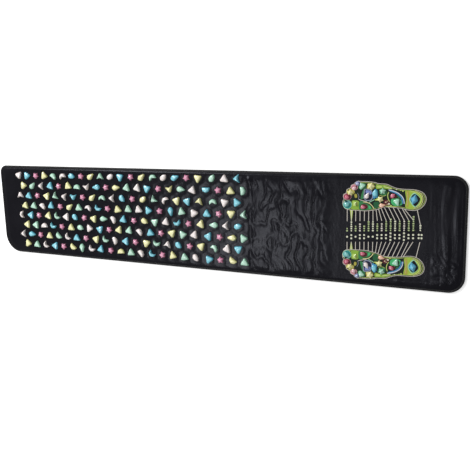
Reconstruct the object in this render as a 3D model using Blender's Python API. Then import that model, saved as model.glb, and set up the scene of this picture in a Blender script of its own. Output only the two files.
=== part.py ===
"""Foot massage mat: a padded walking mat set with moulded stones, folding in two across its bare band.

The mat lies on its underside in the XY plane with +Z up. Its length runs along X, with the stone field
towards -X and the two footprints towards +X, and its width runs along Y. The origin is the middle of the
underside. All sizes are in metres.
"""

import math

import bmesh
import bpy
from mathutils import Matrix, Vector

# Overall size and the four corners, which are cut by hand and differ
MAT_LENGTH = 1.800
MAT_WIDTH = 0.350
CORNER_WALK_FAR = 0.030
CORNER_WALK_NEAR = 0.070
CORNER_FOOT_FAR = 0.042
CORNER_FOOT_NEAR = 0.050
LEAST_CORNER = 0.002
CORNER_STEPS = 6

# Layers, from the floor up, and the clearance between two that touch
SEAT_GAP = 0.0003
LINING_THICKNESS = 0.0006
FOAM_THICKNESS = 0.0045
FOAM_THICKNESS_SEWN = 0.0020
COVER_THICKNESS = 0.0008

# Edge tape, folded over the layers, and the slope beside it where they rise to full thickness
TAPE_THICKNESS = 0.0006
TAPE_WIDTH = 0.0070
TAPE_CLEARANCE = 0.0005
SLOPE_WIDTH = 0.0060

# Stone field, set by hand: a step after some columns, rows that bow back halfway, and rows that tilt
FIELD_MARGIN = 0.099
FIELD_SHIFT = 0.0034
STONE_PITCH = 0.0456
STAGGER = 0.022
PANEL_COLUMNS = 19
PANEL_STEP = 0.006
ROW_PITCH = 0.0398
ROW_EDGE_MARGIN = 0.035
FIELD_BOW = 0.0076
FIELD_BOW_CHANGE = 0.0036
FIELD_TILT = 0.0034
FIELD_TILT_CHANGE = 0.0028

# Stones
STONE_REACH = 0.017
STONE_HEIGHT = 0.0090
STONE_TOP_SHARE = 0.45
STONE_LEAN = 0.0015
STAR_WAIST_SHARE = 0.46

# Pegs moulded under the stones, and the strip that each row is held by below the cover
PEG_SIDE = 0.0060
PEG_CLEARANCE = 0.0003
STRIP_SIDE = 0.002
STRIP_THICKNESS = 0.0012
STRIP_END = 0.012

# Footprints
BARE_BAND = 0.3215
HEEL_MARGIN = 0.1155
FOOT_LENGTH = 0.258
FOOT_WIDTH = 0.094
FOOT_EDGE_MARGIN = 0.020
FOOT_SHIFT = -0.0013
FILM_THICKNESS = 0.0002
FILM_CURVE_STEPS = 2
FOOT_STONE_HEIGHT = 0.0080
FOOT_PEG_SIDE = 0.0040
RIVET_HEAD = 0.0075
RIVET_THICKNESS = 0.0010
RIVET_SIDES = 6

# Puckers of the cover across the bare band
PUCKER_PITCH = 0.020
PUCKER_HEIGHT = 0.0016
PUCKER_FADE = 0.030
PUCKER_STEPS = 4
PUCKER_ROWS = 8
WANDER_SHARE = 0.45
WANDER_PERIOD = 0.150
TWIST_SHARE = 0.25
TWIST_PERIOD_Y = 0.083
TWIST_PERIOD_X = 0.110
SWELL_SHARE = 0.35
SWELL_PERIOD_X = 0.071
SWELL_PERIOD_Y = 0.190

# Fold across the bare band
FOLD_CLEARANCE = 0.0015
FOLD_BEFORE_AXIS = 0.008
FOLD_AFTER_AXIS = 0.050

# How far a cutter or a join reaches past the faces it works on, and the distance taken as none
OVERREACH = 0.0004
TOUCH = 1e-6

# Levels worked out from the layers
SEWN_LINING_BASE = TAPE_THICKNESS + SEAT_GAP
SEWN_FOAM_BASE = SEWN_LINING_BASE + LINING_THICKNESS + SEAT_GAP
SEWN_COVER_BASE = SEWN_FOAM_BASE + FOAM_THICKNESS_SEWN + SEAT_GAP
TAPE_HEIGHT = SEWN_COVER_BASE + COVER_THICKNESS + SEAT_GAP + TAPE_THICKNESS
FOAM_BASE = LINING_THICKNESS + SEAT_GAP
FOAM_TOP = FOAM_BASE + FOAM_THICKNESS
COVER_BASE = FOAM_TOP + SEAT_GAP
COVER_TOP = COVER_BASE + COVER_THICKNESS
STRIP_BASE = FOAM_TOP - STRIP_THICKNESS
STONE_BASE = COVER_TOP + SEAT_GAP
STONE_TOP = STONE_BASE + STONE_HEIGHT
FILM_BASE = COVER_TOP + SEAT_GAP
FOOT_STONE_BASE = FILM_BASE + FILM_THICKNESS + SEAT_GAP

# Insets of the layers from the tape's outer face
SEWN_EDGE = TAPE_THICKNESS + SEAT_GAP
SLOPE_START = TAPE_WIDTH + TAPE_CLEARANCE
SLOPE_END = SLOPE_START + SLOPE_WIDTH

# Places along the mat
WALK_END = -MAT_LENGTH / 2
FOOT_END = MAT_LENGTH / 2
HALF_WIDTH = MAT_WIDTH / 2
HEEL_X = FOOT_END - HEEL_MARGIN
TOE_X = HEEL_X - FOOT_LENGTH
BAND_START = TOE_X - BARE_BAND
HINGE_X = TOE_X - BARE_BAND / 2
HINGE_Z = max(STONE_TOP, FOOT_STONE_BASE + FOOT_STONE_HEIGHT) + FOLD_CLEARANCE
FOLD_START = HINGE_X - FOLD_BEFORE_AXIS
FOLD_END = HINGE_X + FOLD_AFTER_AXIS
FIELD_START = WALK_END + FIELD_MARGIN
FIELD_ROOM = BAND_START - FIELD_START - STAGGER - PANEL_STEP - STONE_REACH
COLUMNS = int((FIELD_ROOM + TOUCH) / STONE_PITCH) + 1
ROWS = int((MAT_WIDTH - 2 * ROW_EDGE_MARGIN + TOUCH) / ROW_PITCH) + 1
FOOT_CENTRE_Y = HALF_WIDTH - FOOT_EDGE_MARGIN - FOOT_WIDTH / 2

# Colour, roughness and metallic value of each finish
LEATHERETTE = ((0.020, 0.019, 0.024), 0.38, 0.0)
FOAM = ((0.045, 0.045, 0.050), 0.95, 0.0)
LINING = ((0.030, 0.030, 0.032), 0.85, 0.0)
TAPE = ((0.012, 0.012, 0.014), 0.60, 0.0)
STRIP = ((0.70, 0.70, 0.68), 0.45, 0.0)
PRINT_GREEN = ((0.22, 0.42, 0.08), 0.40, 0.0)
WHITE = ((0.86, 0.74, 0.72), 0.18, 0.0)
CYAN = ((0.10, 0.50, 0.70), 0.18, 0.0)
PINK = ((0.70, 0.16, 0.36), 0.18, 0.0)
YELLOW = ((0.82, 0.80, 0.30), 0.18, 0.0)
GREEN = ((0.30, 0.68, 0.44), 0.18, 0.0)
CRIMSON = ((0.60, 0.05, 0.12), 0.18, 0.0)
ORANGE = ((0.85, 0.38, 0.20), 0.18, 0.0)
LIME = ((0.50, 0.75, 0.20), 0.18, 0.0)
BLUE = ((0.05, 0.30, 0.62), 0.18, 0.0)

# Colours of the stones along each row from the far edge, white, cyan, pink, yellow and green
FIELD_FINISHES = {"W": WHITE, "C": CYAN, "P": PINK, "Y": YELLOW, "G": GREEN}
ROW_COLOURS = (
    "WCPYG" * 4 + "WC",
    "YGWCP" * 4 + "YG",
    "WCPYG" * 3 + "WYCYGWC",
    "YGWCP" * 3 + "CGWCPYG",
    "WCPYG" * 4 + "WC",
    "YGWCP" * 4 + "YG",
    "WCPYG" * 4 + "WC",
    "YGWCP" * 4 + "YG",
)

# Moulds: outline of each stone with its tip or its round side towards +X, as shares of half its size
MOULD_SHARES = {
    "triangle": ((1.00, -0.12), (1.00, 0.12), (-0.62, 1.00), (-0.88, 0.80), (-0.88, -0.80), (-0.62, -1.00)),
    "notched": ((0.98, -0.14), (0.98, 0.14), (-0.80, 1.00), (-0.38, 0.00), (-0.80, -1.00)),
    "half_moon": ((-0.75, -1.00), (0.35, -0.75), (0.90, 0.00), (0.35, 0.75), (-0.75, 1.00)),
    "crescent": ((-0.85, -0.95), (0.35, -0.80), (0.95, 0.00), (0.35, 0.80), (-0.85, 0.95), (-0.15, 0.00)),
    "kite": ((1.00, -0.15), (1.00, 0.15), (-0.35, 0.95), (-0.95, 0.35), (-0.95, -0.35), (-0.35, -0.95)),
    "egg": ((-1.00, 0.00), (-0.55, -0.85), (0.35, -0.80), (1.00, 0.00), (0.35, 0.80), (-0.55, 0.85)),
    "diamond": ((-1.00, 0.00), (0.00, -1.00), (1.00, 0.00), (0.00, 1.00)),
}
STAR = "star"
STAR_ARMS = 5

# Length and width of each mould of the field
MOULD_SIZES = {
    "triangle": (0.028, 0.032),
    "notched": (0.026, 0.032),
    "half_moon": (0.023, 0.032),
    "crescent": (0.023, 0.031),
    "kite": (0.034, 0.024),
    "egg": (0.032, 0.023),
    STAR: (0.027, 0.027),
}
MOULD_LETTERS = {
    "T": "triangle", "N": "notched", "M": "half_moon", "C": "crescent", "K": "kite", "E": "egg", "S": STAR,
}

# Stones along each row from the far edge: letter of the mould, and turn in degrees
FIELD_STONES = (
    "T285 T5 S56 T350 M55 C110 E350 S80 K35 N90 E30 T25 S50 K40 C115 E40 K20 S46 T25 E55 T85 N185",
    "T0 K45 N180 T195 S36 T220 M85 N285 K185 S36 K5 T195 T195 T20 S36 N285 K355 T70 M270 S28 T95 M5",
    "N95 T80 S36 T170 N205 N170 N270 S66 K40 C90 N180 E310 S36 E35 N220 C135 T165 T50 N75 C95 T20 T0",
    "T75 T80 M55 T325 S51 K35 T95 C70 C240 S66 T105 T210 T220 T0 S26 K280 T340 T125 T90 S66 T270 N190",
    "C185 T175 S46 T190 C220 T180 E315 S36 T50 K0 M30 T320 S56 E335 T35 T320 C290 S36 T190 K180 N185 E15",
    "T180 T180 M95 C240 S66 T90 E340 T0 T160 S56 T305 T315 M45 T100 S66 T285 T10 T310 T175 S66 K180 T5",
    "N185 K355 S51 T90 M225 C215 T90 S56 T165 C235 M20 T180 S61 T140 C260 N75 E320 S76 T285 C50 T190 T275",
    "T355 T85 C215 T175 S56 M230 K275 C235 T315 S66 M95 T95 M40 C230 S36 T345 T100 E310 T130 S26 M235 T90",
)

# Outline of a footprint: share of its length from the toes, and of its width from the middle outwards
FOOT_OUTLINE_SHARES = (
    (0.00, -0.29), (0.07, -0.48), (0.19, -0.50), (0.30, -0.49), (0.45, -0.38), (0.61, -0.34),
    (0.76, -0.39), (0.85, -0.40), (0.93, -0.35), (0.98, -0.22), (1.00, -0.06), (0.99, 0.09),
    (0.95, 0.19), (0.88, 0.27), (0.79, 0.29), (0.69, 0.29), (0.62, 0.32), (0.49, 0.45),
    (0.31, 0.50), (0.17, 0.48), (0.10, 0.32), (0.06, 0.17), (0.01, -0.01),
)

# Places of a footprint's stones as shares of its length and width, in the same way as its outline
FOOT_STONE_SHARES = {
    "big_toe": (0.060, -0.300),
    "second_toe": (0.060, -0.060),
    "third_toe": (0.100, 0.100),
    "fourth_toe": (0.150, 0.245),
    "little_toe": (0.190, 0.400),
    "ball_outer": (0.245, 0.310),
    "ball_star": (0.350, 0.330),
    "ball_centre": (0.306, 0.020),
    "ball_inner": (0.260, -0.370),
    "toe_root": (0.163, -0.266),
    "arch_oval": (0.403, 0.106),
    "arch_green_star": (0.492, 0.180),
    "arch_yellow_star": (0.465, -0.085),
    "arch_inner": (0.484, -0.287),
    "waist": (0.610, 0.043),
    "heel_front": (0.663, -0.170),
    "heel": (0.857, -0.053),
}

# Length and width of a footprint's stones
FOOT_STONE_SIZES = {
    "big_toe": (0.022, 0.018),
    "second_toe": (0.017, 0.015),
    "third_toe": (0.018, 0.018),
    "fourth_toe": (0.016, 0.014),
    "little_toe": (0.012, 0.011),
    "ball_outer": (0.017, 0.015),
    "ball_star": (0.026, 0.026),
    "ball_centre": (0.022, 0.016),
    "ball_inner": (0.018, 0.014),
    "toe_root": (0.013, 0.016),
    "arch_oval": (0.023, 0.017),
    "arch_green_star": (0.022, 0.022),
    "arch_yellow_star": (0.019, 0.019),
    "arch_inner": (0.017, 0.014),
    "waist": (0.018, 0.015),
    "heel_front": (0.018, 0.016),
    "heel": (0.034, 0.024),
}

# Mould, turn in degrees and finish of a footprint's stones
FOOT_STONE_KINDS = {
    "big_toe": ("egg", 20, CYAN),
    "second_toe": ("egg", 0, CRIMSON),
    "third_toe": (STAR, 10, YELLOW),
    "fourth_toe": ("egg", 30, PINK),
    "little_toe": ("egg", 0, BLUE),
    "ball_outer": ("triangle", 250, GREEN),
    "ball_star": (STAR, 0, YELLOW),
    "ball_centre": ("kite", 60, PINK),
    "ball_inner": ("egg", 0, CRIMSON),
    "toe_root": ("half_moon", 180, LIME),
    "arch_oval": ("egg", 80, CYAN),
    "arch_green_star": (STAR, 20, GREEN),
    "arch_yellow_star": (STAR, 50, YELLOW),
    "arch_inner": ("kite", 10, ORANGE),
    "waist": ("egg", 40, CRIMSON),
    "heel_front": ("triangle", 290, GREEN),
    "heel": ("diamond", 75, BLUE),
}


def clear_scene():
    """Removes every object of the open file."""
    for obj in list(bpy.data.objects):
        bpy.data.objects.remove(obj, do_unlink=True)


def make_material(name, finish):
    """A plain surface from a finish's colour, roughness and metallic value."""
    colour, roughness, metallic = finish
    material = bpy.data.materials.new(name)
    material.use_nodes = True
    shader = material.node_tree.nodes["Principled BSDF"]
    shader.inputs["Base Color"].default_value = (*colour, 1.0)
    shader.inputs["Roughness"].default_value = roughness
    shader.inputs["Metallic"].default_value = metallic
    return material


def make_object(name, bm, finishes, place=(0.0, 0.0, 0.0), turn=0.0, parent=None):
    """An object from a bmesh, at a place in the mat's frame, carried by parent if there is one."""
    bmesh.ops.recalc_face_normals(bm, faces=bm.faces)
    mesh = bpy.data.meshes.new(name)
    bm.to_mesh(mesh)
    bm.free()
    obj = bpy.data.objects.new(name, mesh)
    bpy.context.collection.objects.link(obj)
    for number, finish in enumerate(finishes):
        mesh.materials.append(make_material(f"{name}_finish_{number}", finish))
    obj.location = Vector(place)
    obj.rotation_euler.z = turn
    if parent is not None:
        obj.parent = parent
        obj.location = Vector(place) - parent.location
    return obj


def combine(obj, tool_mesh, operation):
    """Joins a tool shape in the object's own frame to it, or cuts it out, and keeps the result."""
    tool = bpy.data.objects.new("tool", tool_mesh)
    bpy.context.collection.objects.link(tool)
    bpy.context.view_layer.update()
    tool.matrix_world = obj.matrix_world
    tool.hide_render = True
    tool.display_type = "WIRE"
    modifier = obj.modifiers.new("work", "BOOLEAN")
    modifier.operation = operation
    modifier.solver = "EXACT"
    modifier.object = tool
    with bpy.context.temp_override(object=obj, active_object=obj, selected_objects=[obj]):
        bpy.ops.object.modifier_apply(modifier=modifier.name)
    bpy.data.objects.remove(tool, do_unlink=True)


def add_prism(bm, low, high, low_z, high_z, finish_index=0):
    """A closed shape between two outlines of as many points, one above the other."""
    bottom = [bm.verts.new((x, y, low_z)) for x, y in low]
    top = [bm.verts.new((x, y, high_z)) for x, y in high]
    faces = [bm.faces.new(list(reversed(bottom))), bm.faces.new(top)]
    for i in range(len(bottom)):
        j = (i + 1) % len(bottom)
        faces.append(bm.faces.new((bottom[i], bottom[j], top[j], top[i])))
    for face in faces:
        face.material_index = finish_index
    return bottom + top


def rectangle(length, width):
    """Corners of a rectangle about the origin."""
    return [(x * length / 2, y * width / 2) for x, y in ((-1, -1), (1, -1), (1, 1), (-1, 1))]


def circle(radius, sides):
    """Corners of a regular outline about the origin."""
    turns = [2 * math.pi * i / sides for i in range(sides)]
    return [(radius * math.cos(a), radius * math.sin(a)) for a in turns]


def moved(outline, place, turn=0.0):
    """An outline turned about the origin and then moved."""
    cos, sin = math.cos(turn), math.sin(turn)
    return [(place[0] + x * cos - y * sin, place[1] + x * sin + y * cos) for x, y in outline]


def stone_outline(mould, length, width):
    """Outline of a stone at its base, about its peg."""
    if mould != STAR:
        return [(x * length / 2, y * width / 2) for x, y in MOULD_SHARES[mould]]
    points = []
    for i in range(2 * STAR_ARMS):
        share = STAR_WAIST_SHARE if i % 2 else 1
        angle = math.pi * i / STAR_ARMS
        points.append((share * math.cos(angle) * length / 2, share * math.sin(angle) * width / 2))
    return points


def add_stone(bm, mould, length, width, height, base_z, place=(0.0, 0.0), turn=0.0, finish_index=0):
    """A moulded stone that narrows and leans slightly towards its top."""
    outline = stone_outline(mould, length, width)
    lean = 0.0 if mould == STAR else STONE_LEAN
    top = [(x * STONE_TOP_SHARE + lean, y * STONE_TOP_SHARE) for x, y in outline]
    low = moved(outline, place, turn)
    high = moved(top, place, turn)
    add_prism(bm, low, high, base_z, base_z + height, finish_index)


def mesh_of(bm, name):
    """A closed mesh from a bmesh, for use as a tool shape."""
    bmesh.ops.recalc_face_normals(bm, faces=bm.faces)
    mesh = bpy.data.meshes.new(name)
    bm.to_mesh(mesh)
    bm.free()
    return mesh


def edge_path(side, inset, start_x):
    """Points from the far edge, round one end of the mat, to the near edge, at an inset from its outline.

    side is -1 for the stone end and 1 for the footprint end.
    """
    end_x = (WALK_END if side < 0 else FOOT_END) - side * inset
    edge_y = HALF_WIDTH - inset
    radii = (CORNER_WALK_FAR, CORNER_WALK_NEAR) if side < 0 else (CORNER_FOOT_FAR, CORNER_FOOT_NEAR)
    far, near = [max(radius - inset, LEAST_CORNER) for radius in radii]
    angles = [math.pi / 2 * i / CORNER_STEPS for i in range(CORNER_STEPS + 1)]
    points = [(start_x, edge_y)]
    for a in angles:
        points.append((end_x - side * far * (1 - math.sin(a)), edge_y - far * (1 - math.cos(a))))
    for a in angles:
        points.append((end_x - side * near * (1 - math.cos(a)), -edge_y + near * (1 - math.sin(a))))
    points.append((start_x, -edge_y))
    return points


def sheet_section(sewn_base, base, thickness_sewn, thickness):
    """Inset and height of a layer's section, from its top inside the slope, round its edge, to below."""
    sewn_top = sewn_base + thickness_sewn
    top = base + thickness
    return [
        (SLOPE_END, top),
        (SLOPE_START, sewn_top),
        (SEWN_EDGE, sewn_top),
        (SEWN_EDGE, sewn_base),
        (SLOPE_START, sewn_base),
        (SLOPE_END, base),
    ]


def tape_section():
    """Inset and height of the edge tape's section, a U that lies on its side with bevelled corners."""
    t = TAPE_THICKNESS
    top = TAPE_HEIGHT
    return [
        (t, 0.0), (TAPE_WIDTH, 0.0), (TAPE_WIDTH, t), (t, t), (t, top - t),
        (TAPE_WIDTH, top - t), (TAPE_WIDTH, top), (t, top), (0.0, top - t), (0.0, t),
    ]


def end_sheet(side, section, start_x):
    """A layer of one side of the mat, from the cut at start_x to the mat's end."""
    bm = bmesh.new()
    rings = []
    for inset, z in section:
        rings.append([bm.verts.new((x, y, z)) for x, y in edge_path(side, inset, start_x)])
    for upper, lower in zip(rings, rings[1:]):
        for i in range(len(upper) - 1):
            bm.faces.new((upper[i], upper[i + 1], lower[i + 1], lower[i]))
    bm.faces.new(rings[0])
    bm.faces.new(list(reversed(rings[-1])))
    bm.faces.new([ring[0] for ring in rings] + [ring[-1] for ring in reversed(rings)])
    return bm


def end_tape(side, start_x):
    """The edge tape round one side of the mat."""
    bm = bmesh.new()
    rings = []
    for inset, z in tape_section():
        rings.append([bm.verts.new((x, y, z)) for x, y in edge_path(side, inset, start_x)])
    for number, ring in enumerate(rings):
        after = rings[(number + 1) % len(rings)]
        for i in range(len(ring) - 1):
            bm.faces.new((ring[i], ring[i + 1], after[i + 1], after[i]))
    bm.faces.new([ring[0] for ring in rings])
    bm.faces.new([ring[-1] for ring in reversed(rings)])
    return bm


def span_solid(outline, start_x, end_x):
    """A section of (y, z) points, extruded along the mat across the fold."""
    bm = bmesh.new()
    first = bm.faces.new([bm.verts.new((start_x, y, z)) for y, z in outline])
    made = bmesh.ops.extrude_face_region(bm, geom=[first])["geom"]
    verts = [item for item in made if isinstance(item, bmesh.types.BMVert)]
    bmesh.ops.translate(bm, verts=verts, vec=(end_x - start_x, 0.0, 0.0))
    return bm


def span_sheet(section, start_x, end_x):
    """A layer of the fold span, sewn along both long edges."""
    far = [(HALF_WIDTH - inset, z) for inset, z in section]
    near = [(-y, z) for y, z in reversed(far)]
    return span_solid(far + near, start_x, end_x)


def span_tape(edge, start_x, end_x):
    """The edge tape of the fold span, on the far edge (1) or the near one (-1)."""
    outline = [(edge * (HALF_WIDTH - inset), z) for inset, z in tape_section()]
    return span_solid(outline, start_x, end_x)


def fade(distance, length):
    """A smooth rise from 0 to 1 over a length."""
    share = min(max(distance / length, 0.0), 1.0)
    return share * share * (3 - 2 * share)


def pucker_height(x, y):
    """Height of the cover's soft puckers, which run across the bare band and wander along it."""
    from_edge = HALF_WIDTH - SLOPE_END - abs(y)
    envelope = fade(from_edge, PUCKER_FADE)
    envelope *= fade(x - BAND_START, PUCKER_FADE) * fade(TOE_X - x, PUCKER_FADE)
    wander = WANDER_SHARE * math.sin(2 * math.pi * y / WANDER_PERIOD)
    wander += TWIST_SHARE * math.sin(2 * math.pi * (y / TWIST_PERIOD_Y + x / TWIST_PERIOD_X))
    wave = (1 + math.cos(2 * math.pi * (x / PUCKER_PITCH + wander))) / 2
    turn = math.sin(2 * math.pi * (x / SWELL_PERIOD_X - y / SWELL_PERIOD_Y))
    return PUCKER_HEIGHT * envelope * wave * (1 - SWELL_SHARE + SWELL_SHARE * turn)


def flat_top(bm):
    """Faces of a cover that lie level at its top."""
    return [f for f in bm.faces if all(abs(v.co.z - COVER_TOP) < TOUCH for v in f.verts)]


def pucker_cover(bm):
    """Divides the flat top of a cover where it crosses the bare band, and raises its puckers."""
    flat = flat_top(bm)
    reach_y = HALF_WIDTH - SLOPE_END
    step = PUCKER_PITCH / PUCKER_STEPS
    cuts = [(BAND_START + i * step, (1, 0, 0)) for i in range(1, int(BARE_BAND / step))]
    cuts += [(-reach_y + 2 * reach_y * i / PUCKER_ROWS, (0, 1, 0)) for i in range(1, PUCKER_ROWS)]
    for place, normal in cuts:
        point = Vector(normal) * place
        inside = [f for f in flat if f.is_valid and (normal[0] or max(v.co.x for v in f.verts) > BAND_START)]
        if normal[1]:
            inside = [f for f in inside if min(v.co.x for v in f.verts) > BAND_START]
            inside = [f for f in inside if max(v.co.x for v in f.verts) < TOE_X]
        geometry = set(inside)
        for face in inside:
            geometry.update(face.edges)
            geometry.update(face.verts)
        bmesh.ops.bisect_plane(bm, geom=list(geometry), dist=TOUCH, plane_co=point, plane_no=normal)
        flat = flat_top(bm)
    for vert in {v for f in flat for v in f.verts}:
        vert.co.z += pucker_height(vert.co.x, vert.co.y)


def stone_layout():
    """Row, place, turn, mould and colour letter of every stone in the field."""
    stones = []
    for row in range(ROWS):
        second = row % 2
        far = 1 - 2 * row / (ROWS - 1)
        bow = FIELD_BOW + FIELD_BOW_CHANGE * far
        tilt = FIELD_TILT + FIELD_TILT_CHANGE * far
        kinds = FIELD_STONES[row % len(FIELD_STONES)].split()
        colours = ROW_COLOURS[row % len(ROW_COLOURS)]
        row_y = FIELD_SHIFT + far * (ROWS - 1) / 2 * ROW_PITCH
        for column in range(COLUMNS):
            along = column / (COLUMNS - 1)
            x = FIELD_START + second * STAGGER + column * STONE_PITCH - bow * math.sin(math.pi * along)
            if column >= PANEL_COLUMNS - second:
                x += PANEL_STEP
            kind = kinds[column % len(kinds)]
            place = (x, row_y + tilt * (2 * along - 1))
            colour = colours[column % len(colours)]
            stones.append((row, place, math.radians(int(kind[1:])), MOULD_LETTERS[kind[0]], colour))
    return stones


def row_strip(stones):
    """Middle, length and width of the strip under a row of stones."""
    xs = [place[0] for _, place, *_ in stones]
    ys = [place[1] for _, place, *_ in stones]
    middle = ((min(xs) + max(xs)) / 2, (min(ys) + max(ys)) / 2)
    return middle, max(xs) - min(xs) + 2 * STRIP_END, max(ys) - min(ys) + PEG_SIDE + 2 * STRIP_SIDE


def build_stone_row(name, stones):
    """One row of stones, with the pegs through the cover and the strip that holds them under it."""
    middle, length, width = row_strip(stones)
    strip = bmesh.new()
    add_prism(strip, rectangle(length, width), rectangle(length, width),
              STRIP_BASE - STONE_BASE, FOAM_TOP - STONE_BASE)
    finishes = (STRIP, *FIELD_FINISHES.values())
    obj = make_object(name, strip, finishes, place=(*middle, STONE_BASE))
    pegs = bmesh.new()
    bodies = bmesh.new()
    for _, (x, y), turn, mould, colour in stones:
        here = (x - middle[0], y - middle[1])
        finish_index = 1 + list(FIELD_FINISHES).index(colour)
        peg = moved(rectangle(PEG_SIDE, PEG_SIDE), here)
        add_prism(pegs, peg, peg, STRIP_BASE + OVERREACH - STONE_BASE, OVERREACH, finish_index)
        add_stone(bodies, mould, *MOULD_SIZES[mould], STONE_HEIGHT, 0.0, here, turn, finish_index)
    combine(obj, mesh_of(pegs, "pegs"), "UNION")
    combine(obj, mesh_of(bodies, "bodies"), "UNION")
    return obj


def foot_point(foot, share):
    """Place in the mat's frame of a point of a footprint, the far one (1) or the near one (-1)."""
    along, across = share
    return (TOE_X + along * FOOT_LENGTH, foot * (FOOT_CENTRE_Y + across * FOOT_WIDTH) + FOOT_SHIFT)


def smooth_loop(points, steps):
    """A closed Catmull-Rom curve through the points."""
    count = len(points)
    loop = []
    for i in range(count):
        a, b, c, d = [Vector(points[(i + k) % count]) for k in (-1, 0, 1, 2)]
        for step in range(steps):
            t = step / steps
            point = b + (c - a) * t / 2 + (a - b * 2.5 + c * 2 - d / 2) * t ** 2
            point += (b * 1.5 - a / 2 - c * 1.5 + d / 2) * t ** 3
            loop.append((point.x, point.y))
    return loop


def peg_holes(places, side, low_z, high_z):
    """Square cutters for the pegs at some places."""
    bm = bmesh.new()
    for place in places:
        hole = moved(rectangle(side + 2 * PEG_CLEARANCE, side + 2 * PEG_CLEARANCE), place)
        add_prism(bm, hole, hole, low_z, high_z)
    return mesh_of(bm, "holes")


def foot_stone_places(foot):
    """Places of the stones of one footprint."""
    return [foot_point(foot, share) for share in FOOT_STONE_SHARES.values()]


def build_footprint(name, foot, carrier):
    """The film that shows one footprint, with the holes for its stones' pegs."""
    bm = bmesh.new()
    outline = smooth_loop([foot_point(foot, share) for share in FOOT_OUTLINE_SHARES], FILM_CURVE_STEPS)
    centre = foot_point(foot, (0.5, 0.0))
    local = moved(outline, (-centre[0], -centre[1]))
    if foot < 0:
        local.reverse()
    add_prism(bm, local, local, 0.0, FILM_THICKNESS)
    obj = make_object(name, bm, (PRINT_GREEN,), place=(*centre, FILM_BASE), parent=carrier)
    places = [(x - centre[0], y - centre[1]) for x, y in foot_stone_places(foot)]
    combine(obj, peg_holes(places, FOOT_PEG_SIDE, -OVERREACH, FILM_THICKNESS + OVERREACH), "DIFFERENCE")
    return obj


def build_foot_stone(name, foot, zone, carrier):
    """One stone of a footprint, with its peg and the head that is formed on the peg below the cover."""
    mould, turn, finish = FOOT_STONE_KINDS[zone]
    bm = bmesh.new()
    add_stone(bm, mould, *FOOT_STONE_SIZES[zone], FOOT_STONE_HEIGHT, 0.0)
    place = (*foot_point(foot, FOOT_STONE_SHARES[zone]), FOOT_STONE_BASE)
    obj = make_object(name, bm, (finish,), place=place, turn=foot * math.radians(turn), parent=carrier)
    head_top = FOAM_TOP - FOOT_STONE_BASE
    peg = bmesh.new()
    square = moved(rectangle(FOOT_PEG_SIDE, FOOT_PEG_SIDE), (0.0, 0.0), -obj.rotation_euler.z)
    add_prism(peg, square, square, head_top - OVERREACH, OVERREACH)
    combine(obj, mesh_of(peg, "peg"), "UNION")
    head = bmesh.new()
    disc = moved(circle(RIVET_HEAD / 2, RIVET_SIDES), (0.0, 0.0), -obj.rotation_euler.z)
    add_prism(head, disc, disc, head_top - RIVET_THICKNESS, head_top)
    combine(obj, mesh_of(head, "head"), "UNION")
    return obj


def build_walk_side(stones):
    """The stone field: cover, foam, lining and edge tape up to the fold, and the rows of stones."""
    end_x = FOLD_START - SEAT_GAP / 2
    cover_section = sheet_section(SEWN_COVER_BASE, COVER_BASE, COVER_THICKNESS, COVER_THICKNESS)
    foam_section = sheet_section(SEWN_FOAM_BASE, FOAM_BASE, FOAM_THICKNESS_SEWN, FOAM_THICKNESS)
    lining_section = sheet_section(SEWN_LINING_BASE, 0.0, LINING_THICKNESS, LINING_THICKNESS)
    bm = end_sheet(-1, cover_section, end_x)
    pucker_cover(bm)
    cover = make_object("walk_cover", bm, (LEATHERETTE,))
    places = [place for _, place, *_ in stones]
    combine(cover, peg_holes(places, PEG_SIDE, COVER_BASE - OVERREACH, COVER_TOP + OVERREACH), "DIFFERENCE")
    foam = make_object("walk_foam", end_sheet(-1, foam_section, end_x), (FOAM,))
    rows = [[stone for stone in stones if stone[0] == row] for row in range(ROWS)]
    channels = bmesh.new()
    for row_stones in rows:
        middle, length, width = row_strip(row_stones)
        channel = moved(rectangle(length + 2 * SEAT_GAP, width + 2 * SEAT_GAP), middle)
        add_prism(channels, channel, channel, STRIP_BASE - SEAT_GAP, FOAM_TOP + OVERREACH)
    combine(foam, mesh_of(channels, "channels"), "DIFFERENCE")
    make_object("walk_lining", end_sheet(-1, lining_section, end_x), (LINING,))
    make_object("walk_binding", end_tape(-1, end_x), (TAPE,))
    for number, row_stones in enumerate(rows, start=1):
        build_stone_row(f"stone_row_{number}", row_stones)


def build_fold_span():
    """The stretch of every layer that bends when the mat is folded."""
    start_x = FOLD_START + SEAT_GAP / 2
    end_x = FOLD_END - SEAT_GAP / 2
    cover_section = sheet_section(SEWN_COVER_BASE, COVER_BASE, COVER_THICKNESS, COVER_THICKNESS)
    bm = span_sheet(cover_section, start_x, end_x)
    pucker_cover(bm)
    make_object("fold_cover", bm, (LEATHERETTE,))
    foam_section = sheet_section(SEWN_FOAM_BASE, FOAM_BASE, FOAM_THICKNESS_SEWN, FOAM_THICKNESS)
    make_object("fold_foam", span_sheet(foam_section, start_x, end_x), (FOAM,))
    lining_section = sheet_section(SEWN_LINING_BASE, 0.0, LINING_THICKNESS, LINING_THICKNESS)
    make_object("fold_lining", span_sheet(lining_section, start_x, end_x), (LINING,))
    make_object("fold_binding_far", span_tape(1, start_x, end_x), (TAPE,))
    make_object("fold_binding_near", span_tape(-1, start_x, end_x), (TAPE,))


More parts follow.
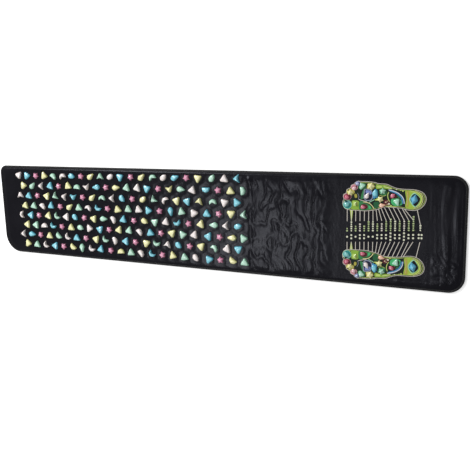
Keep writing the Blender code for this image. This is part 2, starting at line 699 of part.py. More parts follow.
def build_foot_side(carrier):
    """The footprint end: cover, foam, lining and edge tape, the two footprints and their stones."""
    start_x = FOLD_END + SEAT_GAP / 2
    home = Matrix.Translation(-carrier.location)
    places = foot_stone_places(1) + foot_stone_places(-1)
    bm = end_sheet(1, sheet_section(SEWN_COVER_BASE, COVER_BASE, COVER_THICKNESS, COVER_THICKNESS), start_x)
    pucker_cover(bm)
    bm.transform(home)
    cover = make_object("foot_cover", bm, (LEATHERETTE,), place=carrier.location, parent=carrier)
    holes = peg_holes(places, FOOT_PEG_SIDE, COVER_BASE - OVERREACH, COVER_TOP + OVERREACH)
    holes.transform(home)
    combine(cover, holes, "DIFFERENCE")
    bm = end_sheet(1, sheet_section(SEWN_FOAM_BASE, FOAM_BASE, FOAM_THICKNESS_SEWN, FOAM_THICKNESS), start_x)
    bm.transform(home)
    foam = make_object("foot_foam", bm, (FOAM,), place=carrier.location, parent=carrier)
    pockets = bmesh.new()
    pocket_radius = RIVET_HEAD / 2 + SEAT_GAP / math.cos(math.pi / RIVET_SIDES)
    for place in places:
        pocket = moved(circle(pocket_radius, RIVET_SIDES), place)
        add_prism(pockets, pocket, pocket, FOAM_TOP - RIVET_THICKNESS - SEAT_GAP, FOAM_TOP + OVERREACH)
    pockets.transform(home)
    combine(foam, mesh_of(pockets, "pockets"), "DIFFERENCE")
    bm = end_sheet(1, sheet_section(SEWN_LINING_BASE, 0.0, LINING_THICKNESS, LINING_THICKNESS), start_x)
    bm.transform(home)
    make_object("foot_lining", bm, (LINING,), place=carrier.location, parent=carrier)
    bm = end_tape(1, start_x)
    bm.transform(home)
    make_object("foot_binding", bm, (TAPE,), place=carrier.location, parent=carrier)
    for side_name, foot in (("right", 1), ("left", -1)):
        build_footprint(f"{side_name}_footprint_film", foot, carrier)
        for zone in FOOT_STONE_SHARES:
            build_foot_stone(f"{side_name}_{zone}_stone", foot, zone, carrier)


def main():
    """Builds the mat, with the footprint end carried by the axis that it folds about."""
    clear_scene()
    hinge = bpy.data.objects.new("mat_fold_axis", None)
    bpy.context.collection.objects.link(hinge)
    hinge.location = (HINGE_X, 0.0, HINGE_Z)
    build_walk_side(stone_layout())
    build_fold_span()
    build_foot_side(hinge)


main()
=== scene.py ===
"""Dressed model of a foot massage mat: leatherette cover, moulded stones, printed footprints and sewn edge.

The mat lies in the XY plane with +Z up and its length along X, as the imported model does. The stone field is
towards -X and the footprints towards +X. All sizes are in metres unless a name says otherwise.
"""

import logging
import math
from dataclasses import dataclass, field
from enum import Enum

import bpy
import numpy as np
from mathutils import Matrix, Vector, noise


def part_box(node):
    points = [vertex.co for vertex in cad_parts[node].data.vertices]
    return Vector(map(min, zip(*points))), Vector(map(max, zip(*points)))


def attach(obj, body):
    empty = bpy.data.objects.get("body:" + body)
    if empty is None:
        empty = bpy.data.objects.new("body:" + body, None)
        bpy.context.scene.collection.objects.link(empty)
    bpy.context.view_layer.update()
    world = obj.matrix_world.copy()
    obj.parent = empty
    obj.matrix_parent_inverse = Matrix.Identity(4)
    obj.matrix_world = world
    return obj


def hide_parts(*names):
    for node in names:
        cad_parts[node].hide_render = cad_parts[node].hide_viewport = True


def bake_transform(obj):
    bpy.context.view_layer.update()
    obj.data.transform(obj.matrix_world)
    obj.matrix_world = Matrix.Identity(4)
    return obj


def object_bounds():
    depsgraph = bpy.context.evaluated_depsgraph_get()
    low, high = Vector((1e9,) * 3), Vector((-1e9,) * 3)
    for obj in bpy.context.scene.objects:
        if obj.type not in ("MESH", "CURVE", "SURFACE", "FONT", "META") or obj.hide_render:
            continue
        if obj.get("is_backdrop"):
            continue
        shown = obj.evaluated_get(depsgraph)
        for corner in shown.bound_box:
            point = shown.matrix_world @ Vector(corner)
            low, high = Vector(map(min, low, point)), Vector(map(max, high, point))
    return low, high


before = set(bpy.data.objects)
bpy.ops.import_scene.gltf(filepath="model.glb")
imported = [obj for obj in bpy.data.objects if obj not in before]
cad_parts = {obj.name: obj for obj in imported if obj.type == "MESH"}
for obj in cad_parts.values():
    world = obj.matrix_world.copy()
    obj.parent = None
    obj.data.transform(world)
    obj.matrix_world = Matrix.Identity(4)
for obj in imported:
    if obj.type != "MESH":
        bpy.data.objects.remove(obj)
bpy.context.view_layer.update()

Array = np.ndarray
Points = list[tuple[float, float]]

LOG = logging.getLogger("massage_mat")

WALK = "walk_side"
FOOT = "foot_side"
UNDER_A_LAYER = 0.0003
FULL_TURN = 2 * math.pi
QUARTER_TURN = math.pi / 2
WAVE_REPEAT = FULL_TURN / 20


# Small tools of the workshop


def linear(hex_colour: str) -> tuple[float, float, float, float]:
    """Linear colour of an sRGB hex value.

    Args:
        hex_colour: six hex digits after a hash sign.

    Returns:
        Red, green and blue in linear light, and an alpha of 1.
    """
    channels = [int(hex_colour[i:i + 2], 16) / 255 for i in (1, 3, 5)]
    light = [c / 12.92 if c <= 0.04045 else ((c + 0.055) / 1.055) ** 2.4 for c in channels]
    return (light[0], light[1], light[2], 1.0)


def per_metre(millimetres: float) -> float:
    """Scale of a noise or cell texture whose pattern repeats at this distance."""
    return 1000.0 / millimetres


def waves_per_metre(millimetres: float) -> float:
    """Scale of a wave texture whose bands repeat at this distance: at scale 1 they repeat every 0.314."""
    return per_metre(millimetres) * WAVE_REPEAT


def add_node(
    tree: bpy.types.NodeTree,
    kind: str,
    inputs: dict[str | int, object] | None = None,
    **settings: object,
) -> bpy.types.Node:
    """Adds a shader node with its settings and links.

    Args:
        tree: the node tree of a material or world.
        kind: the node's type name.
        inputs: values and links of its sockets, as feed takes them.
        **settings: properties of the node itself.

    Returns:
        The new node.
    """
    node = tree.nodes.new(kind)
    for name, value in settings.items():
        setattr(node, name, value)
    feed(tree, node, inputs or {})
    return node


def feed(tree: bpy.types.NodeTree, node: bpy.types.Node, inputs: dict[str | int, object]) -> None:
    """Sets or links sockets of a node.

    Args:
        tree: the node tree it is in.
        node: the node.
        inputs: for each socket, by name or number, a value or an output socket to link from.
    """
    for key, value in inputs.items():
        if isinstance(value, bpy.types.NodeSocket):
            tree.links.new(value, node.inputs[key])
        else:
            node.inputs[key].default_value = value


def fade(distance: Array, length: float) -> Array:
    """A smooth rise from 0 to 1 over a length."""
    share = np.clip(distance / length, 0.0, 1.0)
    return share * share * (3 - 2 * share)


def drift(x: Array, y: Array, reach_x: float, reach_y: float, layer: float) -> Array:
    """A smooth uneven pattern between about -1 and 1, the same in every run.

    Args:
        x: places along the mat.
        y: places across it.
        reach_x: how far along the mat the pattern stays alike.
        reach_y: how far across the mat it stays alike.
        layer: picks one pattern of many.

    Returns:
        The pattern's value at each place.
    """
    places = zip((x / reach_x).ravel(), (y / reach_y).ravel())
    values = [noise.noise(Vector((a, b, layer))) for a, b in places]
    return np.array(values).reshape(x.shape)


def folds(
    x: Array,
    y: Array,
    reach_x: float,
    reach_y: float,
    layer: float,
    shoulder: float,
    roundness: float,
) -> Array:
    """Broad folds with narrow hollows between them, from 0 in the hollows to 1 on the folds.

    Args:
        x: places along the mat.
        y: places across it.
        reach_x: how far along the mat a fold stays alike.
        reach_y: how far across the mat it stays alike.
        layer: picks one pattern of many.
        shoulder: the drift at which a fold is at its full height.
        roundness: power of the rise: a smaller one gives steeper hollows.

    Returns:
        The share of their height at each place.
    """
    return np.minimum(np.abs(drift(x, y, reach_x, reach_y, layer)) / shoulder, 1.0) ** roundness


def select_only(obj: bpy.types.Object) -> None:
    """Makes one object the only selected and the active one."""
    bpy.ops.object.select_all(action="DESELECT")
    obj.select_set(True)
    bpy.context.view_layer.objects.active = obj


class Pick(Enum):
    """What a selection in edit mode is made of: the value is Blender's select mode."""

    VERTICES = (True, False, False)
    EDGES = (False, True, False)
    FACES = (False, False, True)


def pick(obj: bpy.types.Object, kind: Pick, chosen: list[int]) -> None:
    """Goes into edit mode with only some parts of a mesh selected.

    Args:
        obj: the active object, in object mode.
        kind: whether vertices, edges or faces are chosen.
        chosen: their numbers.
    """
    mesh = obj.data
    bpy.context.tool_settings.mesh_select_mode = kind.value
    for parts in (mesh.vertices, mesh.edges, mesh.polygons):
        parts.foreach_set("select", [False] * len(parts))
    parts = {Pick.VERTICES: mesh.vertices, Pick.EDGES: mesh.edges, Pick.FACES: mesh.polygons}[kind]
    for number in chosen:
        parts[number].select = True
    bpy.ops.object.mode_set(mode="EDIT")


def face_outwards(obj: bpy.types.Object) -> None:
    """Turns every face of a closed object outwards."""
    select_only(obj)
    bpy.ops.object.mode_set(mode="EDIT")
    bpy.ops.mesh.select_all(action="SELECT")
    bpy.ops.mesh.normals_make_consistent(inside=False)
    bpy.ops.object.mode_set(mode="OBJECT")


def link_mesh(name: str, vertices: Array, faces: list[tuple[int, ...]]) -> bpy.types.Object:
    """An object from vertices and faces, linked to the scene.

    Args:
        name: name of the object and its mesh.
        vertices: rows of x, y and z.
        faces: vertex numbers of each face, anticlockwise from outside.

    Returns:
        The new object, at the origin.
    """
    mesh = bpy.data.meshes.new(name)
    mesh.from_pydata(vertices.tolist(), [], faces)
    mesh.validate()
    obj = bpy.data.objects.new(name, mesh)
    bpy.context.collection.objects.link(obj)
    return obj


def smooth_faces(obj: bpy.types.Object, angle: float) -> None:
    """Shades an object smooth, apart from edges sharper than an angle in degrees."""
    select_only(obj)
    bpy.ops.object.shade_smooth_by_angle(angle=math.radians(angle))


def curve_from(points: Points, steps: int) -> Points:
    """One stretch of a Catmull-Rom curve, from the second of four points up to the third.

    Args:
        points: the four points.
        steps: points on the stretch, without the third point itself.

    Returns:
        Points of the stretch.
    """
    a, b, c, d = [Vector(point) for point in points]
    curve = []
    for step in range(steps):
        t = step / steps
        point = b + (c - a) * t / 2 + (a - b * 2.5 + c * 2 - d / 2) * t ** 2
        point += (b * 1.5 - a / 2 - c * 1.5 + d / 2) * t ** 3
        curve.append((point.x, point.y))
    return curve


def smooth_loop(points: Points, steps: int) -> Points:
    """A closed smooth curve through points.

    Args:
        points: corners of the loop, in order.
        steps: points on the curve for each corner.

    Returns:
        Points of the curve.
    """
    count = len(points)
    loop = []
    for i in range(count):
        loop += curve_from([points[(i + k) % count] for k in (-1, 0, 1, 2)], steps)
    return loop


def smooth_path(points: Points, steps: int) -> Points:
    """An open smooth curve through points.

    Args:
        points: points of the path, in order.
        steps: points on the curve for each stretch between two.

    Returns:
        Points of the curve, with both ends.
    """
    ends = [points[0], *points, points[-1]]
    path = []
    for i in range(1, len(ends) - 2):
        path += curve_from(ends[i - 1:i + 3], steps)
    return [*path, points[-1]]


def stroke(path: Points, width: float) -> Points:
    """Outline of a line of some width along an open path."""
    points = np.array(path)
    along = np.gradient(points, axis=0)
    along /= np.linalg.norm(along, axis=1)[:, None]
    across = np.stack([-along[:, 1], along[:, 0]], axis=1) * width / 2
    return [tuple(p) for p in np.vstack([points + across, (points - across)[::-1]])]


def inset_loop(loop: Points, inset: float) -> Points:
    """A loop moved inwards by a distance, whichever way round it runs."""
    points = np.array(loop)
    x, y = points[:, 0], points[:, 1]
    area = np.sum(x * np.roll(y, -1) - np.roll(x, -1) * y) / 2
    along = np.roll(points, -1, axis=0) - np.roll(points, 1, axis=0)
    along /= np.linalg.norm(along, axis=1)[:, None]
    inwards = np.stack([-along[:, 1], along[:, 0]], axis=1) * (1 if area > 0 else -1)
    return [tuple(p) for p in points + inwards * inset]


# Finishes


@dataclass(frozen=True)
class Finish:
    """What a surface is made of and how it was made."""

    name: str

    def material(self) -> bpy.types.Material:
        """The finish's material, made once."""
        known = bpy.data.materials.get(self.name)
        return known if known else self.make()

    def make(self) -> bpy.types.Material:
        """Makes the material: each finish has its own way."""
        raise NotImplementedError

    def begin(self) -> tuple[bpy.types.Material, bpy.types.NodeTree, bpy.types.Node, bpy.types.NodeSocket]:
        """A new material with only its shader.

        Returns:
            The material, its tree, its shader, and the socket that gives a point's place in metres.
        """
        material = bpy.data.materials.new(self.name)
        material.use_nodes = True
        tree = material.node_tree
        tree.nodes.clear()
        shader = add_node(tree, "ShaderNodeBsdfPrincipled")
        add_node(tree, "ShaderNodeOutputMaterial", {"Surface": shader.outputs["BSDF"]})
        place = add_node(tree, "ShaderNodeTexCoord").outputs["Object"]
        return material, tree, shader, place

    def dress(self, *objects: bpy.types.Object) -> None:
        """Gives objects this finish and no other."""
        for obj in objects:
            obj.data.materials.clear()
            obj.data.materials.append(self.material())


@dataclass(frozen=True)
class EmbossedLeatherette(Finish):
    """Cloth with a skin of PVC, embossed with a fine leather grain.

    It gives a black that is slightly blue, a broad soft gloss and a pebbled grain.
    """

    deep: str = "#09080D"
    worn: str = "#141319"
    grain_mm: float = 1.6
    crease_mm: float = 14.0
    roughness: float = 0.25

    def make(self) -> bpy.types.Material:
        """Makes the leatherette, its grain drawn a little coarser than the real one so that it shows."""
        material, tree, shader, place = self.begin()
        cloud = add_node(
            tree, "ShaderNodeTexNoise", {"Vector": place, "Scale": per_metre(70), "Detail": 5.0}
        )
        colour = add_node(
            tree, "ShaderNodeMix",
            {"Factor": cloud.outputs["Fac"], "A": linear(self.deep), "B": linear(self.worn)},
            data_type="RGBA",
        )
        gloss = add_node(
            tree, "ShaderNodeMapRange",
            {"Value": cloud.outputs["Fac"], "To Min": self.roughness - 0.05, "To Max": self.roughness + 0.10},
        )
        grain = add_node(
            tree, "ShaderNodeTexVoronoi", {"Vector": place, "Scale": per_metre(self.grain_mm)},
            feature="SMOOTH_F1",
        )
        across = add_node(tree, "ShaderNodeMapping", {"Vector": place, "Scale": (1.0, 0.35, 1.0)})
        crease = add_node(
            tree, "ShaderNodeTexNoise",
            {"Vector": across.outputs["Vector"], "Scale": per_metre(self.crease_mm), "Detail": 3.0,
             "Distortion": 0.6},
        )
        soft = add_node(
            tree, "ShaderNodeBump",
            {"Height": crease.outputs["Fac"], "Strength": 0.28, "Distance": 0.0016},
        )
        fine = add_node(
            tree, "ShaderNodeBump",
            {"Height": grain.outputs["Distance"], "Strength": 0.35, "Distance": 0.00012,
             "Normal": soft.outputs["Normal"]},
        )
        feed(tree, shader, {
            "Base Color": colour.outputs["Result"], "Roughness": gloss.outputs["Result"],
            "Normal": fine.outputs["Normal"], "Specular IOR Level": 0.19,
            "Specular Tint": linear("#F0F3FF"),
        })
        return material


@dataclass(frozen=True)
class MouldedStone(Finish):
    """Polystyrene, injection moulded and polished, with pearl powder in it.

    It gives a clear bright colour, cloudy swirls and a hard gloss. Its colour lightens from the body colour at
    the base to the tip colour at the peak: a painted highlight on the top and painted shade towards the base.
    """

    # body is the colour at the base, and tip the colour at the peak and in the swirls. The lighter peak is
    # painted light: a painted highlight on top and painted shade low down.
    body: str = "#FFFFFF"
    tip: str = "#FFFFFF"
    low_z: float = 0.0
    high_z: float = 0.009
    swirl_mm: float = 9.0
    roughness: float = 0.20

    def make(self) -> bpy.types.Material:
        """Makes the stone's plastic."""
        material, tree, shader, place = self.begin()
        height = add_node(tree, "ShaderNodeSeparateXYZ", {"Vector": place})
        swirl = add_node(
            tree, "ShaderNodeTexNoise",
            {"Vector": place, "Scale": per_metre(self.swirl_mm), "Detail": 3.0, "Distortion": 1.4},
        )
        # The rise with height is painted light: the stone lightens towards its peak and is darker towards its
        # base.
        rise = add_node(
            tree, "ShaderNodeMapRange",
            {"Value": height.outputs["Z"], "From Min": self.low_z, "From Max": self.high_z, "To Max": 0.75},
        )
        swirl_and_painted_light = add_node(
            tree, "ShaderNodeMath",
            {0: swirl.outputs["Fac"], 1: 0.5, 2: rise.outputs["Result"]},
            operation="MULTIPLY_ADD",
        )
        share = add_node(
            tree, "ShaderNodeMapRange", {"Value": swirl_and_painted_light.outputs["Value"], "From Min": 0.2, "From Max": 1.2}
        )
        colour = add_node(
            tree, "ShaderNodeMix",
            {"Factor": share.outputs["Result"], "A": linear(self.body), "B": linear(self.tip)},
            data_type="RGBA",
        )
        feed(tree, shader, {
            "Base Color": colour.outputs["Result"], "Roughness": self.roughness, "IOR": 1.55,
            "Coat Weight": 0.35, "Coat Roughness": 0.08,
        })
        return material


@dataclass(frozen=True)
class ScreenInk(Finish):
    """Screen ink on a transfer film.

    It gives a flat opaque colour with a faint mottle where it was pressed on, and less gloss than the cover.
    """

    colour: str = "#808080"
    mottle_mm: float = 5.0

    def make(self) -> bpy.types.Material:
        """Makes the ink."""
        material, tree, shader, place = self.begin()
        mottle = add_node(
            tree, "ShaderNodeTexNoise", {"Vector": place, "Scale": per_metre(self.mottle_mm), "Detail": 4.0}
        )
        value = add_node(
            tree, "ShaderNodeMapRange", {"Value": mottle.outputs["Fac"], "To Min": 0.78, "To Max": 1.18}
        )
        tinted = add_node(
            tree, "ShaderNodeHueSaturation", {"Value": value.outputs["Result"], "Color": linear(self.colour)}
        )
        feed(tree, shader, {
            "Base Color": tinted.outputs["Color"], "Roughness": 0.42, "Specular IOR Level": 0.22,
        })
        return material


@dataclass(frozen=True)
class CutFoam(Finish):
    """Polyurethane foam, cut from a block. It gives a dull grey face full of small open cells."""

    cell_mm: float = 1.4

    def make(self) -> bpy.types.Material:
        """Makes the foam, its cells drawn twice as coarse as the real ones so that they show."""
        material, tree, shader, place = self.begin()
        cells = add_node(tree, "ShaderNodeTexVoronoi", {"Vector": place, "Scale": per_metre(self.cell_mm)})
        # The colour darkens towards each cell's middle, where the bump sinks: painted shade in the open cells.
        colour = add_node(
            tree, "ShaderNodeMix",
            {"Factor": cells.outputs["Distance"], "A": linear("#2E2E33"), "B": linear("#4A4A50")},
            data_type="RGBA",
        )
        bump = add_node(
            tree, "ShaderNodeBump", {"Height": cells.outputs["Distance"], "Strength": 0.6, "Distance": 0.0006}
        )
        feed(tree, shader, {
            "Base Color": colour.outputs["Result"], "Normal": bump.outputs["Normal"], "Roughness": 0.95,
        })
        return material


@dataclass(frozen=True)
class DottedLining(Finish):
    """Bonded polyester cloth, printed with soft PVC dots that grip the floor.

    It gives a dull black cloth with rows of slightly raised, slightly glossier dots.
    """

    dot_pitch_mm: float = 5.0
    fibre_mm: float = 0.9

    def make(self) -> bpy.types.Material:
        """Makes the lining, its fibres drawn coarser than the real ones so that they show."""
        material, tree, shader, place = self.begin()
        dots = add_node(
            tree, "ShaderNodeTexVoronoi",
            {"Vector": place, "Scale": per_metre(self.dot_pitch_mm), "Randomness": 0.0},
            voronoi_dimensions="2D",
        )
        dot = add_node(
            tree, "ShaderNodeMapRange",
            {"Value": dots.outputs["Distance"], "From Min": 0.34, "From Max": 0.22},
            interpolation_type="SMOOTHSTEP",
        )
        fibre = add_node(
            tree, "ShaderNodeTexNoise", {"Vector": place, "Scale": per_metre(self.fibre_mm), "Detail": 4.0}
        )
        # The cloth's colour follows the fibre bump and is darker where it sinks: the fibres' own tone, and
        # painted shade in the low places.
        cloth = add_node(
            tree, "ShaderNodeMix",
            {"Factor": fibre.outputs["Fac"], "A": linear("#1C1C1F"), "B": linear("#34343A")},
            data_type="RGBA",
        )
        colour = add_node(
            tree, "ShaderNodeMix",
            {"Factor": dot.outputs["Result"], "A": cloth.outputs["Result"], "B": linear("#101013")},
            data_type="RGBA",
        )
        gloss = add_node(
            tree, "ShaderNodeMapRange", {"Value": dot.outputs["Result"], "To Min": 0.92, "To Max": 0.55}
        )
        cloth_bump = add_node(
            tree, "ShaderNodeBump", {"Height": fibre.outputs["Fac"], "Strength": 0.4, "Distance": 0.0003}
        )
        bump = add_node(
            tree, "ShaderNodeBump",
            {"Height": dot.outputs["Result"], "Strength": 0.8, "Distance": 0.0004,
             "Normal": cloth_bump.outputs["Normal"]},
        )
        feed(tree, shader, {
            "Base Color": colour.outputs["Result"], "Roughness": gloss.outputs["Result"],
            "Normal": bump.outputs["Normal"],
        })
        return material


@dataclass(frozen=True)
class RibbedTape(Finish):
    """Polyester grosgrain tape, woven with ribs across it. It gives a dull black with fine cross lines."""

    rib_mm: float = 6.915

    def make(self) -> bpy.types.Material:
        """Makes the tape. Its ribs follow its own map, drawn about six times as coarse as real ones."""
        material, tree, shader, place = self.begin()
        own = add_node(tree, "ShaderNodeUVMap", uv_map="tape").outputs["UV"]
        ribs = add_node(
            tree, "ShaderNodeTexWave",
            {"Vector": own, "Scale": waves_per_metre(self.rib_mm), "Distortion": 0.4},
            bands_direction="X",
        )
        fluff = add_node(tree, "ShaderNodeTexNoise", {"Vector": place, "Scale": per_metre(12), "Detail": 5.0})
        wear = add_node(
            tree, "ShaderNodeMix",
            {"Factor": fluff.outputs["Fac"], "A": linear("#0E0E10"), "B": linear("#19191C")},
            data_type="RGBA",
        )
        # Near black in the hollows between the ribs, where the bump sinks, and the worn colour on their
        # crests: painted shade in the hollows.
        colour = add_node(
            tree, "ShaderNodeMix",
            {"Factor": ribs.outputs["Fac"], "A": linear("#070708"), "B": wear.outputs["Result"]},
            data_type="RGBA",
        )
        bump = add_node(
            tree, "ShaderNodeBump", {"Height": ribs.outputs["Fac"], "Strength": 0.5, "Distance": 0.0002}
        )
        feed(tree, shader, {
            "Base Color": colour.outputs["Result"], "Normal": bump.outputs["Normal"], "Roughness": 0.6,
            "Specular IOR Level": 0.3, "Sheen Weight": 0.06, "Sheen Roughness": 0.5,
        })
        return material


@dataclass(frozen=True)
class BondedThread(Finish):
    """Bonded nylon sewing thread, twisted. It gives a slight silky gloss with fine slanting lines."""

    twist_mm: float = 4.4

    def make(self) -> bpy.types.Material:
        """Makes the thread. Its twist is drawn about six times as coarse as the real one."""
        material, tree, shader, place = self.begin()
        slant = add_node(
            tree, "ShaderNodeMapping", {"Vector": place, "Rotation": (0.0, 0.0, math.radians(38))}
        )
        twist = add_node(
            tree, "ShaderNodeTexWave",
            {"Vector": slant.outputs["Vector"], "Scale": waves_per_metre(self.twist_mm)},
        )
        colour = add_node(
            tree, "ShaderNodeMix",
            {"Factor": twist.outputs["Fac"], "A": linear("#2A2A2E"), "B": linear("#4C4C52")},
            data_type="RGBA",
        )
        feed(tree, shader, {"Base Color": colour.outputs["Result"], "Roughness": 0.4})
        return material


@dataclass(frozen=True)
class StripPlastic(Finish):
    """Polypropylene strip, cut from sheet. It gives a milky white with faint scuffs along it."""

    def make(self) -> bpy.types.Material:
        """Makes the strip's plastic."""
        material, tree, shader, place = self.begin()
        along = add_node(tree, "ShaderNodeMapping", {"Vector": place, "Scale": (0.1, 1.0, 1.0)})
        scuff = add_node(
            tree, "ShaderNodeTexNoise",
            {"Vector": along.outputs["Vector"], "Scale": per_metre(2.5), "Detail": 3.0},
        )
        colour = add_node(
            tree, "ShaderNodeMix",
            {"Factor": scuff.outputs["Fac"], "A": linear("#C9C9C4"), "B": linear("#E4E4DF")},
            data_type="RGBA",
        )
        gloss = add_node(
            tree, "ShaderNodeMapRange", {"Value": scuff.outputs["Fac"], "To Min": 0.35, "To Max": 0.6}
        )
        feed(tree, shader, {
            "Base Color": colour.outputs["Result"], "Roughness": gloss.outputs["Result"],
        })
        return material


class StoneColour(Enum):
    """Colours of the stones: the body colour they are moulded in, and a lighter tip colour, which is a painted
    highlight on each stone's top as well as the colour of its pale swirls.
    """

    WHITE = ("#EBDAD8", "#FFF8F6")
    CYAN = ("#3FB0CC", "#A2E6F2")
    TEAL = ("#2A9296", "#A3E4DE")
    BLUSH = ("#D59AA6", "#FBDDE0")
    PINK = ("#CC6C98", "#F1B2CA")
    YELLOW = ("#E9E28C", "#FDFBCC")
    GREEN = ("#8AD2AE", "#D4F4E4")
    CRIMSON = ("#B02A4C", "#F09AAE")
    ORANGE = ("#E79A72", "#FFE4D0")
    LIME = ("#A6CF5A", "#E6F6B4")
    BLUE = ("#0F78AE", "#8CE0F8")
    MIST = ("#9AA6D6", "#E0E4F8")

    @property
    def word(self) -> str:
        """The colour's name in small letters."""
        return self.name.lower()

    @property
    def slot(self) -> str:
        """The name of the record's stone slot nearest to this colour."""
        nearest = {"mist": "blue", "white": "pink", "blush": "pink", "teal": "cyan"}
        return f"{nearest.get(self.word, self.word)}_stone"

    def finish(self, low_z: float, high_z: float) -> MouldedStone:
        """The finish of a stone of this colour between two heights."""
        body, tip = self.value
        return MouldedStone(f"moulded_stone_{self.word}", body, tip, low_z, high_z)


class Ink(Enum):
    """Inks of the printed footprints and chart."""

    PALE = "#DDD6CB"
    WHITE = "#F1F2F2"
    BONE = "#E4E6CC"
    MOSS = "#B4C48E"
    # Near-black ink: printed dark lines and patches, and also a painted shadow under and to the right of each
    # heel stone.
    SHADOW = "#0A100D"
    LEAF = "#C3D674"
    LIME = "#8DB440"
    HEEL_GREEN = "#A6C446"
    DEEP_GREEN = "#081C12"
    FOREST = "#1F5E38"
    GREEN = "#35804C"
    MINT = "#A2DDB8"
    TEAL = "#2B9391"
    SKY = "#BCD2F0"
    AZURE = "#4A9CC8"
    LAVENDER = "#7F8FC6"
    MIST = "#98A0B8"
    NAVY = "#141B38"
    ROSE = "#CF9AA0"
    BLUSH = "#C98A94"
    CRIMSON = "#97304A"
    STRAW = "#CFCB6A"
    EMERALD = "#49B873"
    MAROON = "#571E26"
    YELLOW = "#E9E8A6"
    SAND = "#DCC3A0"
    OLIVE = "#B0A848"

    def finish(self) -> ScreenInk:
        """The finish of this ink."""
        return ScreenInk(f"screen_ink_{self.name.lower()}", self.value)


LEATHERETTE = EmbossedLeatherette("embossed_leatherette")
FOAM = CutFoam("cut_polyurethane_foam")
LINING = DottedLining("dotted_lining_cloth")
TAPE = RibbedTape("ribbed_edge_tape")
THREAD = BondedThread("bonded_nylon_thread")
STRIP = StripPlastic("milky_strip_plastic")


# The mat's plan, which every sub-assembly is laid out from


